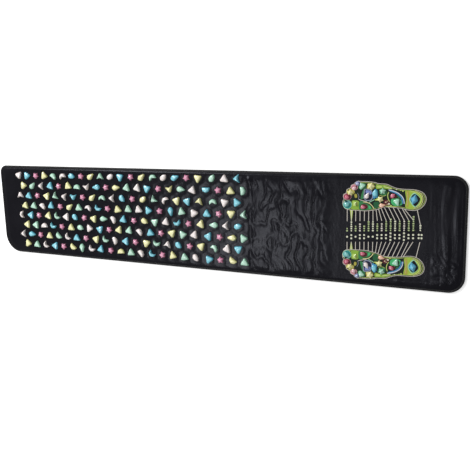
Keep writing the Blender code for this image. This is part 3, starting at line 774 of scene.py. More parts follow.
@dataclass
class MatPlan:
    """Outline, layers and places of the mat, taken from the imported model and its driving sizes."""

    corner_walk_far: float = 0.030
    corner_walk_near: float = 0.070
    corner_foot_far: float = 0.042
    corner_foot_near: float = 0.050
    sewn_inset: float = 0.0009
    slope_rises: tuple[float, ...] = (0.0075, 0.0095, 0.0115, 0.0135)
    field_length: float = 1.105
    toe_inset: float = 0.3735
    heel_inset: float = 0.1155
    corner_lines: int = 12
    closest_lines: float = 0.0009
    closest_to_end: float = 0.0005
    walk_end: float = field(init=False)
    foot_end: float = field(init=False)
    half_width: float = field(init=False)
    tape_top: float = field(init=False)
    cover_top: float = field(init=False)
    toe_x: float = field(init=False)
    heel_x: float = field(init=False)
    band_start: float = field(init=False)
    fold_start: float = field(init=False)
    fold_end: float = field(init=False)

    def __post_init__(self) -> None:
        """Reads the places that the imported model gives."""
        low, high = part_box("walk_binding")
        self.walk_end, self.half_width, self.tape_top = low[0], high[1], high[2]
        self.foot_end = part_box("foot_binding")[1][0]
        self.band_start = self.walk_end + self.field_length
        self.toe_x = self.foot_end - self.toe_inset
        self.heel_x = self.foot_end - self.heel_inset
        self.cover_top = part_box("right_footprint_film")[0][2] - UNDER_A_LAYER
        self.fold_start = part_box("walk_cover")[1][0] + UNDER_A_LAYER / 2
        self.fold_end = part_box("foot_cover")[0][0] - UNDER_A_LAYER / 2

    @property
    def slope_start(self) -> float:
        """Inset at which a layer starts to rise from the sewn edge."""
        return self.slope_rises[0]

    @property
    def slope_end(self) -> float:
        """Inset at which a layer has its free height."""
        return self.slope_rises[-1]

    def corners(self) -> list[tuple[int, int, float]]:
        """Side along X, side along Y and radius of each corner."""
        return [
            (-1, 1, self.corner_walk_far), (-1, -1, self.corner_walk_near),
            (1, 1, self.corner_foot_far), (1, -1, self.corner_foot_near),
        ]

    def corner_centre(self, side_x: int, side_y: int, radius: float) -> Array:
        """Centre of the arc that rounds a corner."""
        end_x = self.foot_end if side_x > 0 else self.walk_end
        return np.array([end_x - side_x * radius, side_y * (self.half_width - radius)])

    def inside(self, x: Array, y: Array) -> Array:
        """Distance of points inwards from the mat's outline."""
        distance = np.minimum.reduce(
            [x - self.walk_end, self.foot_end - x, self.half_width - y, y + self.half_width]
        )
        for side_x, side_y, radius in self.corners():
            centre_x, centre_y = self.corner_centre(side_x, side_y, radius)
            dx = (x - centre_x) * side_x
            dy = (y - centre_y) * side_y
            in_corner = (dx > 0) & (dy > 0)
            distance = np.where(in_corner, radius - np.hypot(dx, dy), distance)
        return distance

    def edge_y(self, x: Array, side_y: int, inset: float) -> Array:
        """Y of the outline at an inset, on the far (1) or near (-1) edge, for places along the mat."""
        edge = np.full_like(x, self.half_width - inset)
        for side_x, corner_y, radius in self.corners():
            if corner_y != side_y:
                continue
            centre_x, _ = self.corner_centre(side_x, corner_y, radius)
            reach = radius - inset
            dx = np.clip((x - centre_x) * side_x, 0.0, reach)
            drop = reach - np.sqrt(np.maximum(reach ** 2 - dx ** 2, 0.0))
            edge = np.where((x - centre_x) * side_x > 0, self.half_width - inset - drop, edge)
        return side_y * edge

    def columns(self, inset: float, stretches: list[tuple[float, float]]) -> Array:
        """Places of a layer's cross lines.

        Args:
            inset: how far inside the outline the layer ends.
            stretches: the end of each stretch along the mat and the step in it.

        Returns:
            Places along X, from the stone end to the footprint end.
        """
        low, high = self.walk_end + inset, self.foot_end - inset
        places = [low, high]
        for side_x, _, radius in self.corners():
            end_x = high if side_x > 0 else low
            reach = radius - inset
            for line in range(1, self.corner_lines):
                turned = QUARTER_TURN * line / self.corner_lines
                places.append(end_x - side_x * reach * (1 - math.cos(turned)))
        for rise in self.slope_rises:
            places += [self.walk_end + rise, self.foot_end - rise]
        start = low
        for end, step in stretches:
            end = min(end, high)
            count = max(int(round((end - start) / step)), 1)
            places += list(np.linspace(start, end, count + 1))
            start = end
        kept = [low]
        for place in sorted(places):
            if place - kept[-1] > self.closest_lines and high - place > self.closest_to_end:
                kept.append(place)
        kept.append(high)
        return np.array(kept)

    def grid(self, inset: float, xs: Array, step_y: float) -> tuple[Array, Array]:
        """Places of a layer's points.

        Args:
            inset: how far inside the outline the layer ends.
            xs: places of its cross lines.
            step_y: the step between its long lines, inside the sewn edge.

        Returns:
            X and Y of the points, with a row for each cross line.
        """
        rises = np.array([inset, *self.slope_rises]) - inset
        near = self.edge_y(xs, -1, inset)
        far = self.edge_y(xs, 1, inset)
        inner = int(round((2 * (self.half_width - self.slope_end)) / step_y))
        shares = np.linspace(0.0, 1.0, inner + 1)[1:-1]
        low, high = near + rises[-1], far - rises[-1]
        lines = [near + rise for rise in rises]
        lines += [low + (high - low) * share for share in shares]
        lines += [far - rise for rise in rises[::-1]]
        ys = np.stack(lines, axis=1)
        return np.repeat(xs[:, None], ys.shape[1], axis=1), ys

    def loop(self, step: float) -> tuple[Array, Array, Array]:
        """The mat's outline, walked anticlockwise.

        Args:
            step: distance between two points.

        Returns:
            Points, their inward normals, and the distance walked to each.
        """
        points, normals = [], []
        arcs = {
            (side_x, side_y): (self.corner_centre(side_x, side_y, radius), radius)
            for side_x, side_y, radius in self.corners()
        }
        order = [(1, -1), (1, 1), (-1, 1), (-1, -1)]
        for number, corner in enumerate(order):
            centre, radius = arcs[corner]
            start = (number - 1) * QUARTER_TURN
            count = max(int(round(radius * QUARTER_TURN / step)), 4)
            for i in range(count + 1):
                angle = start + QUARTER_TURN * i / count
                outward = np.array([math.cos(angle), math.sin(angle)])
                points.append(centre + radius * outward)
                normals.append(-outward)
            next_centre, next_radius = arcs[order[(number + 1) % len(order)]]
            goal = next_centre + next_radius * outward
            gap = np.linalg.norm(goal - points[-1])
            count = max(int(round(gap / step)), 1)
            origin = points[-1]
            for i in range(1, count):
                points.append(origin + (goal - origin) * i / count)
                normals.append(-outward)
        points, normals = np.array(points), np.array(normals)
        steps = np.linalg.norm(np.roll(points, -1, axis=0) - points, axis=1)
        return points, normals, np.concatenate([[0.0], np.cumsum(steps)])

    def across_fold(self, obj: bpy.types.Object) -> None:
        """Bakes a finished piece's place into its mesh."""
        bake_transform(obj)


# Stones


class MouldKind(Enum):
    """Moulds of the stones. The value is the outline, with its tip or round side towards +X, as shares."""

    TRIANGLE = ((1.00, -0.12), (1.00, 0.12), (-0.62, 1.00), (-0.88, 0.80), (-0.88, -0.80), (-0.62, -1.00))
    NOTCHED = ((0.98, -0.14), (0.98, 0.14), (-0.80, 1.00), (-0.38, 0.00), (-0.80, -1.00))
    HALF_MOON = ((-0.75, -1.00), (0.35, -0.75), (0.90, 0.00), (0.35, 0.75), (-0.75, 1.00))
    CRESCENT = ((-0.85, -0.95), (0.35, -0.80), (0.95, 0.00), (0.35, 0.80), (-0.85, 0.95), (-0.15, 0.00))
    KITE = ((1.00, -0.15), (1.00, 0.15), (-0.35, 0.95), (-0.95, 0.35), (-0.95, -0.35), (-0.35, -0.95))
    EGG = ((-1.00, 0.00), (-0.55, -0.85), (0.35, -0.80), (1.00, 0.00), (0.35, 0.80), (-0.55, 0.85))
    DIAMOND = ((-1.00, 0.00), (0.00, -1.00), (1.00, 0.00), (0.00, 1.00))
    STAR = tuple(
        (reach * math.cos(math.pi * i / 5), reach * math.sin(math.pi * i / 5))
        for i, reach in enumerate((1.0, 0.60) * 5)
    )


@dataclass
class StoneMould:
    """A mould that stones are taken from, modelled once about its peg with its base at height 0."""

    kind: MouldKind
    length: float
    width: float
    height: float
    peg_depth: float
    riveted: bool
    lean: float = 0.0015
    corner: float = 0.0022
    corner_length: float = 0.026
    star_corner_share: float = 0.45
    wall: float = 0.0024
    wall_draft: float = 0.97
    crease: float = 34.0
    ring_shares: tuple[tuple[float, float], ...] = ((0.84, 0.55), (0.46, 0.94))
    peg_share: float = 0.22
    peg_draft: float = 0.96
    head_width: float = 0.0068
    head_height: float = 0.0009
    head_draft: float = 0.8

    def extrude(self, rise: float, share: float, centre: tuple[float, float, float]) -> None:
        """Extrudes the selected face and scales the new one about a centre."""
        bpy.ops.mesh.extrude_region_move(TRANSFORM_OT_translate={"value": (0.0, 0.0, rise)})
        bpy.ops.transform.resize(value=(share, share, 1.0), center_override=centre)

    def build(self) -> bpy.types.Object:
        """Models the stone: its outline, rounded corners, sloping sides, peak and peg.

        Returns:
            The mould's object, which is copied for each stone and then removed.
        """
        outline = [(x * self.length / 2, y * self.width / 2) for x, y in self.kind.value]
        bpy.ops.object.select_all(action="DESELECT")
        bpy.ops.mesh.primitive_circle_add(vertices=len(outline), radius=self.length / 2, fill_type="NGON")
        obj = bpy.context.object
        for number, place in enumerate(outline):
            shift = Vector((*place, 0.0)) - obj.data.vertices[number].co
            pick(obj, Pick.VERTICES, [number])
            bpy.ops.transform.translate(value=shift)
            bpy.ops.object.mode_set(mode="OBJECT")
        star = self.kind is MouldKind.STAR
        kind_share = self.star_corner_share if star else 1.0
        corner = self.corner * kind_share * min(self.length / self.corner_length, 1.0)
        pick(obj, Pick.VERTICES, list(range(len(outline))))
        bpy.ops.mesh.bevel(offset=corner, segments=1, affect="VERTICES")
        bpy.ops.object.mode_set(mode="OBJECT")
        face_outwards(obj)
        pick(obj, Pick.FACES, [0])
        lean = 0.0 if star else self.lean
        self.extrude(self.wall, self.wall_draft, (0.0, 0.0, 0.0))
        low, before = self.wall, self.wall_draft
        for share, height_share in self.ring_shares:
            high = self.wall + (self.height - self.wall) * height_share
            self.extrude(high - low, share / before, (lean, 0.0, 0.0))
            low, before = high, share
        bpy.ops.mesh.poke(offset=self.height - low)
        bpy.ops.object.mode_set(mode="OBJECT")
        self.add_peg(obj)
        face_outwards(obj)
        smooth_faces(obj, self.crease)
        return obj

    def add_peg(self, obj: bpy.types.Object) -> None:
        """Draws the peg out of the stone's base, with a head formed on it where it is riveted."""
        level = [p for p in obj.data.polygons if abs(p.normal.z) > 0.999 and abs(p.center.z) < 1e-6]
        pick(obj, Pick.FACES, [level[0].index])
        centre = (0.0, 0.0, 0.0)
        self.extrude(0.0, self.peg_share, centre)
        self.extrude(-self.peg_depth, self.peg_draft, centre)
        if self.riveted:
            self.extrude(0.0, self.head_width / (self.length * self.peg_share), centre)
            self.extrude(-self.head_height, self.head_draft, centre)
        bpy.ops.object.mode_set(mode="OBJECT")


@dataclass(frozen=True)
class StonePlace:
    """One stone of the mat: its mould, its size, its colour, and where it stands."""

    name: str
    kind: MouldKind
    length: float
    width: float
    colour: StoneColour
    x: float
    y: float
    turn: float


@dataclass
class StoneField:
    """The walking field: rows of stones, each row held by a strip below the cover."""

    plan: MatPlan
    margin: float = 0.099
    shift: float = 0.0034
    pitch: float = 0.0456
    stagger: float = 0.022
    columns: int = 22
    panel_columns: int = 19
    panel_step: float = 0.006
    row_pitch: float = 0.0398
    bow: float = 0.0076
    bow_change: float = 0.0036
    tilt: float = 0.0034
    tilt_change: float = 0.0028
    height: float = 0.0090
    peg_into_strip: float = 0.0004
    strip_thickness: float = 0.0012
    strip_side: float = 0.005
    strip_end: float = 0.012
    strip_corner_share: float = 0.3
    strip_edge: float = 0.0002
    letters: dict[str, tuple[MouldKind, float, float]] = field(default_factory=lambda: {
        "T": (MouldKind.TRIANGLE, 0.028, 0.032),
        "N": (MouldKind.NOTCHED, 0.026, 0.032),
        "M": (MouldKind.HALF_MOON, 0.023, 0.032),
        "C": (MouldKind.CRESCENT, 0.023, 0.031),
        "K": (MouldKind.KITE, 0.034, 0.024),
        "E": (MouldKind.EGG, 0.032, 0.023),
        "S": (MouldKind.STAR, 0.027, 0.027),
    })
    colours: dict[str, StoneColour] = field(default_factory=lambda: {
        "W": StoneColour.WHITE, "C": StoneColour.CYAN, "P": StoneColour.PINK,
        "Y": StoneColour.YELLOW, "G": StoneColour.GREEN,
    })
    row_colours: tuple[str, ...] = (
        "WCPYG" * 4 + "WC", "YGWCP" * 4 + "YG", "WCPYG" * 3 + "WYCYGWC", "YGWCP" * 3 + "CGWCPYG",
        "WCPYG" * 4 + "WC", "YGWCP" * 4 + "YG", "WCPYG" * 4 + "WC", "YGWCP" * 4 + "YG",
    )
    row_stones: tuple[str, ...] = (
        "T285 T5 S56 T350 M55 C110 E350 S80 K35 N90 E30 T25 S50 K40 C115 E40 K20 S46 T25 E55 T85 N185",
        "T0 K45 N180 T195 S36 T220 M85 N285 K185 S36 K5 T195 T195 T20 S36 N285 K355 T70 M270 S28 T95 M5",
        "N95 T80 S36 T170 N205 N170 N270 S66 K40 C90 N180 E310 S36 E35 N220 C135 T165 T50 N75 C95 T20 T0",
        "T75 T80 M55 T325 S51 K35 T95 C70 C240 S66 T105 T210 T220 T0 S26 K280 T340 T125 T90 S66 T270 N190",
        "C185 T175 S46 T190 C220 T180 E315 S36 T50 K0 M30 T320 S56 E335 T35 T320 C290 S36 T190 K180 N185 E15",
        "T180 T180 M95 C240 S66 T90 E340 T0 T160 S56 T305 T315 M45 T100 S66 T285 T10 T310 T175 S66 K180 T5",
        "N185 K355 S51 T90 M225 C215 T90 S56 T165 C235 M20 T180 S61 T140 C260 N75 E320 S76 T285 C50 T190 T275",
        "T355 T85 C215 T175 S56 M230 K275 C235 T315 S66 M95 T95 M40 C230 S36 T345 T100 E310 T130 S26 M235 T90",
    )

    def layout(self) -> list[list[StonePlace]]:
        """Every row's stones, from the far row to the near one."""
        rows = []
        count = len(self.row_stones)
        for row in range(count):
            second = row % 2
            far = 1 - 2 * row / (count - 1)
            bow = self.bow + self.bow_change * far
            tilt = self.tilt + self.tilt_change * far
            row_y = self.shift + far * (count - 1) / 2 * self.row_pitch
            stones = []
            for column, kind in enumerate(self.row_stones[row].split()):
                along = column / (self.columns - 1)
                x = self.plan.walk_end + self.margin + second * self.stagger + column * self.pitch
                x -= bow * math.sin(math.pi * along)
                if column >= self.panel_columns - second:
                    x += self.panel_step
                mould, length, width = self.letters[kind[0]]
                colour = self.colours[self.row_colours[row][column]]
                name = f"row_{row + 1}_stone_{column + 1:02d}_{colour.word}"
                turn = math.radians(int(kind[1:]))
                stones.append(
                    StonePlace(name, mould, length, width, colour, x, row_y + tilt * (2 * along - 1), turn)
                )
            rows.append(stones)
        return rows

    def build(self) -> None:
        """Builds every row: its stones and its strip."""
        base = self.plan.cover_top + UNDER_A_LAYER
        peg_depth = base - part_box("walk_foam")[1][2] + self.peg_into_strip
        moulds: dict[MouldKind, bpy.types.Object] = {}
        for mould, length, width in self.letters.values():
            moulds[mould] = StoneMould(mould, length, width, self.height, peg_depth, riveted=False).build()
        for number, stones in enumerate(self.layout(), start=1):
            node = f"stone_row_{number}"
            for stone in stones:
                piece = place_stone(moulds[stone.kind], stone, base)
                stone.colour.finish(base, base + self.height).dress(piece)
                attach(piece, WALK)
                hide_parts(node)
            strip = self.build_strip(number, stones)
            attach(strip, WALK)
            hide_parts(node)
            LOG.info("row %d: %d stones and its strip", number, len(stones))
        for mould in moulds.values():
            bpy.data.objects.remove(mould, do_unlink=True)

    def build_strip(self, number: int, stones: list[StonePlace]) -> bpy.types.Object:
        """The strip that holds a row's pegs below the cover.

        Args:
            number: number of the row, from the far edge.
            stones: the row's stones.

        Returns:
            The strip, with rounded ends and softened edges.
        """
        xs = [stone.x for stone in stones]
        ys = [stone.y for stone in stones]
        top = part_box("walk_foam")[1][2]
        length = max(xs) - min(xs) + 2 * self.strip_end
        width = max(ys) - min(ys) + 2 * self.strip_side
        bpy.ops.object.select_all(action="DESELECT")
        bpy.ops.mesh.primitive_cube_add(
            size=1.0,
            location=((max(xs) + min(xs)) / 2, (max(ys) + min(ys)) / 2, top - self.strip_thickness / 2),
            scale=(length, width, self.strip_thickness),
        )
        strip = bpy.context.object
        strip.name = f"row_{number}_strip"
        bpy.ops.object.transform_apply(location=True, rotation=True, scale=True)
        mesh = strip.data
        pick(strip, Pick.EDGES, self.edges_by_rise(mesh, upright=True))
        bpy.ops.mesh.bevel(offset=width * self.strip_corner_share, segments=5)
        bpy.ops.object.mode_set(mode="OBJECT")
        pick(strip, Pick.EDGES, self.edges_by_rise(mesh, upright=False))
        bpy.ops.mesh.bevel(offset=self.strip_edge, segments=1)
        bpy.ops.object.mode_set(mode="OBJECT")
        smooth_faces(strip, angle=40)
        STRIP.dress(strip)
        return strip

    def edges_by_rise(self, mesh: bpy.types.Mesh, upright: bool) -> list[int]:
        """Numbers of a mesh's upright edges, or of its level ones."""
        chosen = []
        for edge in mesh.edges:
            a, b = [mesh.vertices[i].co for i in edge.vertices]
            if (abs(a.z - b.z) > 1e-6) == upright:
                chosen.append(edge.index)
        return chosen


def place_stone(mould: bpy.types.Object, stone: StonePlace, base: float) -> bpy.types.Object:
    """A copy of a mould, with its own mesh, at a stone's place.

    Args:
        mould: the object to copy.
        stone: where the stone stands and what it is.
        base: height of the stone's base.

    Returns:
        The stone, at the origin with its place in its mesh.
    """
    piece = mould.copy()
    piece.data = mould.data.copy()
    piece.name = stone.name
    piece.data.name = stone.name
    bpy.context.collection.objects.link(piece)
    turned = Matrix.Translation((stone.x, stone.y, base)) @ Matrix.Rotation(stone.turn, 4, "Z")
    piece.data.transform(turned)
    return piece


# Layers of the mat


@dataclass
class Layer:
    """A layer of the mat: one closed sheet between two surfaces, sewn in round its edge."""

    plan: MatPlan
    name: str
    step_y: float
    stretches: list[tuple[float, float]]

    def top(self, x: Array, y: Array) -> Array:
        """Height of the layer's upper face."""
        raise NotImplementedError

    def bottom(self, x: Array, y: Array) -> Array:
        """Height of the layer's lower face."""
        raise NotImplementedError

    def between(self, x: Array, y: Array, sewn: float, free: float) -> Array:
        """A height that goes from its sewn level at the edge to its free level inside."""
        inset = self.plan.inside(x, y) - self.plan.slope_start
        return sewn + (free - sewn) * fade(inset, self.plan.slope_end - self.plan.slope_start)

    def build(self) -> bpy.types.Object:
        """Builds the layer as a closed sheet."""
        xs = self.plan.columns(self.plan.sewn_inset, self.stretches)
        x, y = self.plan.grid(self.plan.sewn_inset, xs, self.step_y)
        columns, lines = x.shape
        upper = np.stack([x, y, self.top(x, y)], axis=2).reshape(-1, 3)
        lower = np.stack([x, y, self.bottom(x, y)], axis=2).reshape(-1, 3)
        count = columns * lines
        faces = []
        for i in range(columns - 1):
            for j in range(lines - 1):
                a, b = i * lines + j, (i + 1) * lines + j
                faces.append((a, b, b + 1, a + 1))
                faces.append((count + a, count + a + 1, count + b + 1, count + b))
        rim = [i * lines for i in range(columns)]
        rim += [(columns - 1) * lines + j for j in range(1, lines)]
        rim += [i * lines + lines - 1 for i in range(columns - 2, -1, -1)]
        rim += [j for j in range(lines - 2, 0, -1)]
        for here, after in zip(rim, rim[1:] + rim[:1]):
            faces.append((here, count + here, count + after, after))
        obj = link_mesh(self.name, np.vstack([upper, lower]), faces)
        smooth_faces(obj, angle=50)
        LOG.info("%s: %d points", self.name, 2 * count)
        return obj


@dataclass
class CoverSheet(Layer):
    """The leatherette cover: puckers across the bare band, soft quilting round the stones."""

    stones: list[StonePlace] = field(default_factory=list)
    sewn_base: float = 0.0041
    thickness: float = 0.0008
    pucker_height: float = 0.0031
    pucker_pitch: float = 0.029
    pucker_length: float = 0.058
    pucker_sway: float = 0.005
    pucker_sway_length: float = 0.130
    pucker_drift: float = 0.009
    pucker_edge: float = 0.014
    pucker_start: float = 0.012
    pucker_start_shift: float = 0.007
    pucker_start_drift: float = 0.014
    pucker_end: float = 0.045
    pucker_shoulder: float = 0.26
    pucker_roundness: float = 0.6
    toe_clearance: float = 0.028
    crinkle_share: float = 0.22
    crinkle_pitch_share: float = 0.6
    crinkle_length: float = 0.038
    crinkle_shoulder: float = 0.22
    quilt_height: float = 0.0014
    quilt_reach: float = 0.0165
    quilt_rise: float = 0.010
    quilt_end: float = 0.020
    ripple_height: float = 0.0030
    ripple_pitch: float = 0.046
    ripple_sway: float = 0.10
    ripple_sway_length: float = 0.210
    ripple_drift: float = 0.5
    crumple_height: float = 0.0033
    crumple_pitch: float = 0.016
    crumple_length: float = 0.026
    crumple_slant: float = 0.4
    crumple_beside_heel: float = 0.165

    def puckers(self, x: Array, y: Array) -> Array:
        """Height of the puckers that run across the bare band and wander along it."""
        plan = self.plan
        start = x - plan.band_start + self.pucker_start_shift
        start = start + self.pucker_start_drift * drift(x, y, 0.060, 0.026, 17.0)
        envelope = fade(plan.half_width - plan.slope_end - np.abs(y), self.pucker_edge)
        envelope *= fade(start, self.pucker_start)
        envelope *= fade(plan.toe_x - self.toe_clearance - x, self.pucker_end)
        sway = self.pucker_sway * np.sin(FULL_TURN * y / self.pucker_sway_length)
        along = x + sway + self.pucker_drift * drift(x, y, 0.040, 0.030, 3.0)
        pitch, roundness = self.pucker_pitch, self.pucker_roundness
        broad = folds(along, y, pitch, self.pucker_length, 5.0, self.pucker_shoulder, roundness)
        pitch = pitch * self.crinkle_pitch_share
        narrow = folds(along, y, pitch, self.crinkle_length, 7.0, self.crinkle_shoulder, roundness)
        uneven = np.clip(0.90 + 0.6 * drift(x, y, 0.070, 0.060, 12.0), 0.45, 1.15)
        mixed = (1 - self.crinkle_share) * broad + self.crinkle_share * narrow
        return self.pucker_height * envelope * mixed * uneven

    def quilting(self, x: Array, y: Array) -> Array:
        """Height of the cover between the stones, whose pegs hold it down."""
        nearest = np.full(x.shape, 1.0)
        for stone in self.stones:
            nearest = np.minimum(nearest, np.hypot(x - stone.x, y - stone.y))
        inner = self.plan.inside(x, y) - self.plan.slope_end
        field_part = fade(self.plan.band_start + self.quilt_end - x, self.quilt_end) * fade(inner, 0.012)
        return self.quilt_height * fade(nearest - self.quilt_reach, self.quilt_rise) * field_part

    def ripples(self, x: Array, y: Array) -> Array:
        """Height of the soft bands across the mat beyond the heels, and of the crumples near them."""
        plan = self.plan
        inner = plan.inside(x, y) - plan.slope_end
        beyond = fade(x - plan.heel_x - 0.004, 0.020) * fade(inner, 0.015)
        wander = self.ripple_sway * np.sin(FULL_TURN * y / self.ripple_sway_length)
        wander += self.ripple_drift * drift(x, y, 0.050, 0.140, 6.0)
        bands = (1 + np.sin(FULL_TURN * (x / self.ripple_pitch + wander))) / 2
        uneven = 0.7 + 0.6 * drift(x, y, 0.030, 0.090, 9.0)
        corner = fade(x - plan.heel_x - 0.012, 0.025) * fade(-y - 0.040, 0.060)
        beside = fade(x - plan.toe_x - self.crumple_beside_heel, 0.012) * fade(-y - 0.142, 0.008)
        slanted = x + y * self.crumple_slant
        crumple = folds(slanted, y, self.crumple_pitch, self.crumple_length, 13.0, 0.30, 0.7)
        crumple *= np.maximum(corner, beside) * fade(inner, 0.008)
        return self.ripple_height * beyond * bands * uneven + self.crumple_height * crumple

    def rise(self, x: Array, y: Array) -> Array:
        """Everything that lifts the cover off its level."""
        return self.puckers(x, y) + self.quilting(x, y) + self.ripples(x, y)

    def top(self, x: Array, y: Array) -> Array:
        """Height of the cover's face."""
        return self.bottom(x, y) + self.thickness

    def bottom(self, x: Array, y: Array) -> Array:
        """Height of the cover's back."""
        free = self.plan.cover_top - self.thickness
        return self.between(x, y, self.sewn_base, free) + self.rise(x, y)


@dataclass
class FoamCore(Layer):
    """The foam between cover and lining, with channels for the strips and hollows for the rivet heads."""

    cover: CoverSheet | None = None
    rivets: list[StonePlace] = field(default_factory=list)
    rows: list[list[StonePlace]] = field(default_factory=list)
    sewn_base: float = 0.0018
    base: float = 0.0009
    hollow_depth: float = 0.0016
    hollow_reach: float = 0.0095
    channel_end: float = 0.017
    channel_side: float = 0.0105

    def top(self, x: Array, y: Array) -> Array:
        """Height of the foam's upper face, just below the cover."""
        under = self.cover.bottom(x, y) - UNDER_A_LAYER
        hollow = np.zeros(x.shape)
        for rivet in self.rivets:
            hollow = np.maximum(hollow, np.hypot(x - rivet.x, y - rivet.y) < self.hollow_reach)
        for row in self.rows:
            xs = [stone.x for stone in row]
            ys = [stone.y for stone in row]
            along = (x > min(xs) - self.channel_end) & (x < max(xs) + self.channel_end)
            across = (y > min(ys) - self.channel_side) & (y < max(ys) + self.channel_side)
            hollow = np.maximum(hollow, along & across)
        return under - self.hollow_depth * hollow

    def bottom(self, x: Array, y: Array) -> Array:
        """Height of the foam's lower face."""
        return self.between(x, y, self.sewn_base, self.base)


@dataclass
class BackingLining(Layer):
    """The lining that closes the underside."""

    sewn_base: float = 0.0009
    thickness: float = 0.0006

    def top(self, x: Array, y: Array) -> Array:
        """Height of the lining's inner face."""
        return self.bottom(x, y) + self.thickness

    def bottom(self, x: Array, y: Array) -> Array:
        """Height of the lining's outer face, which lies on the floor."""
        return self.between(x, y, self.sewn_base, 0.0)


@dataclass
class EdgeBinding:
    """The tape folded over the mat's edge all round, and the thread that sews it."""

    plan: MatPlan
    width: float = 0.0070
    thickness: float = 0.0006
    outer_round: float = 0.0012
    inner_round: float = 0.0006
    lip: float = 0.0001
    lip_length: float = 0.002
    sway: float = 0.0002
    sway_length: float = 0.047
    stitch_pitch: float = 0.0040
    stitch_length: float = 0.0030
    stitch_inset: float = 0.0052
    stitch_pull: float = 0.00016
    pull_reach: float = 0.0012
    area_share: float = 0.98
    thread: float = 0.0005
    thread_sides: int = 5
    # Of each ring of a stitch: its place along the stitch, its width and its rise, all as shares.
    thread_rings: tuple[tuple[float, float, float], ...] = (
        (-0.50, 0.35, -0.30), (-0.36, 0.90, 0.12), (0.00, 1.00, 0.27), (0.36, 0.90, 0.12),
        (0.50, 0.35, -0.30),
    )

    def section(self) -> Points:
        """Inset and height of the folded tape's section, closed, from the inside of its lower leg."""
        top, t, end = self.plan.tape_top, self.thickness, self.width
        points = [(end, t), (end - self.lip_length, t)]
        points += self.corner(t, t, self.inner_round, below=True)
        points += self.corner(t, top - t, self.inner_round, below=False)
        points += [(end - self.lip_length, top - t), (end, top - t)]
        points += [(end + self.lip, top - t / 2), (end, top), (self.stitch_inset, top)]
        points += self.corner(0.0, top, self.outer_round, below=False)[::-1]
        points += self.corner(0.0, 0.0, self.outer_round, below=True)[::-1]
        points += [(self.stitch_inset, 0.0), (end, 0.0), (end + self.lip, t / 2)]
        return points

    def corner(self, inset: float, z: float, radius: float, below: bool) -> Points:
        """Rounded corner of the fold: from the leg below to the fold, or from the fold to the leg above."""
        points = []
        for i in range(4):
            angle = QUARTER_TURN * i / 3
            from_side, from_end = radius * (1 - math.cos(angle)), radius * (1 - math.sin(angle))
            points.append((inset + from_end, z + from_side) if below else (inset + from_side, z - from_end))
        return points

    def build(self) -> None:
        """Builds the tape and its stitches."""
        points, normals, walked = self.plan.loop(self.stitch_pitch / 2)
        section = self.section()
        stations, around = len(points), len(section)
        vertices = []
        for number, (point, inward) in enumerate(zip(points, normals)):
            sway = self.sway * math.sin(walked[number] * FULL_TURN / self.sway_length)
            pull = self.stitch_pull if number % 2 else 0.0
            for inset, z in section:
                leg = min(inset / self.width, 1.0)
                place = point + inward * (inset + sway * leg)
                dip = pull * math.exp(-((inset - self.stitch_inset) / self.pull_reach) ** 2)
                upper = z > self.plan.tape_top / 2
                vertices.append((place[0], place[1], z - dip if upper else z + dip))
        faces = []
        for i in range(stations):
            after = (i + 1) % stations
            for j in range(around):
                k = (j + 1) % around
                faces.append((i * around + j, i * around + k, after * around + k, after * around + j))
        tape = link_mesh("edge_tape", np.array(vertices), faces)
        self.map_tape(tape, section, walked)
        face_outwards(tape)
        smooth_faces(tape, 55)
        TAPE.dress(tape)
        self.plan.across_fold(tape)
        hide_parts("walk_binding", "fold_binding_far", "fold_binding_near", "foot_binding")
        self.build_stitches(points, normals)

    def map_tape(self, tape: bpy.types.Object, section: Points, walked: Array) -> None:
        """Writes the tape's own map: metres along it and across it.

        Args:
            tape: the tape's object.
            section: inset and height of the points round it.
            walked: distance along the mat's edge to each of its stations.
        """
        around = len(section)
        steps = [math.dist(section[j], section[(j + 1) % around]) for j in range(around)]
        across = np.concatenate([[0.0], np.cumsum(steps)])
        layer = tape.data.uv_layers.new(name="tape")
        for polygon in tape.data.polygons:
            i, j = divmod(polygon.index, around)
            for loop_index in polygon.loop_indices:
                vertex = tape.data.loops[loop_index].vertex_index
                station, point = divmod(vertex, around)
                along = walked[i + 1] if station != i else walked[i]
                side = across[j + 1] if point != j else across[j]
                layer.data[loop_index].uv = (along, side)

    def build_stitches(self, points: Array, normals: Array) -> None:
        """Lays a stitch over every second station of the tape, above and below."""
        sides, rings, radius = self.thread_sides, len(self.thread_rings), self.thread / 2
        vertices, faces = [], []
        for level, upward in ((self.plan.tape_top, 1.0), (0.0, -1.0)):
            for i in range(0, len(points) - 1, 2):
                along = np.array([-normals[i][1], normals[i][0]]) * upward
                across = np.array([along[1], -along[0]]) * upward
                middle = points[i] + normals[i] * self.stitch_inset
                first = len(vertices)
                for share, swell, lift in self.thread_rings:
                    centre = middle + along * share * self.stitch_length
                    for k in range(sides):
                        angle = FULL_TURN * k / sides
                        place = centre + across * radius * swell * math.cos(angle)
                        up = radius * (swell * math.sin(angle) + lift)
                        vertices.append((place[0], place[1], level + upward * up))
                for ring in range(rings - 1):
                    for k in range(sides):
                        a, b = first + ring * sides + k, first + ring * sides + (k + 1) % sides
                        faces.append((a, b, b + sides, a + sides))
                last = first + (rings - 1) * sides
                faces.append(tuple(first + k for k in range(sides - 1, -1, -1)))
                faces.append(tuple(last + k for k in range(sides)))
        stitches = link_mesh("edge_stitches", np.array(vertices), faces)
        face_outwards(stitches)
        bpy.ops.object.shade_smooth()
        THREAD.dress(stitches)
        self.plan.across_fold(stitches)
        LOG.info("edge_stitches: %d stitches", len(vertices) // (rings * sides))


# Footprints and chart


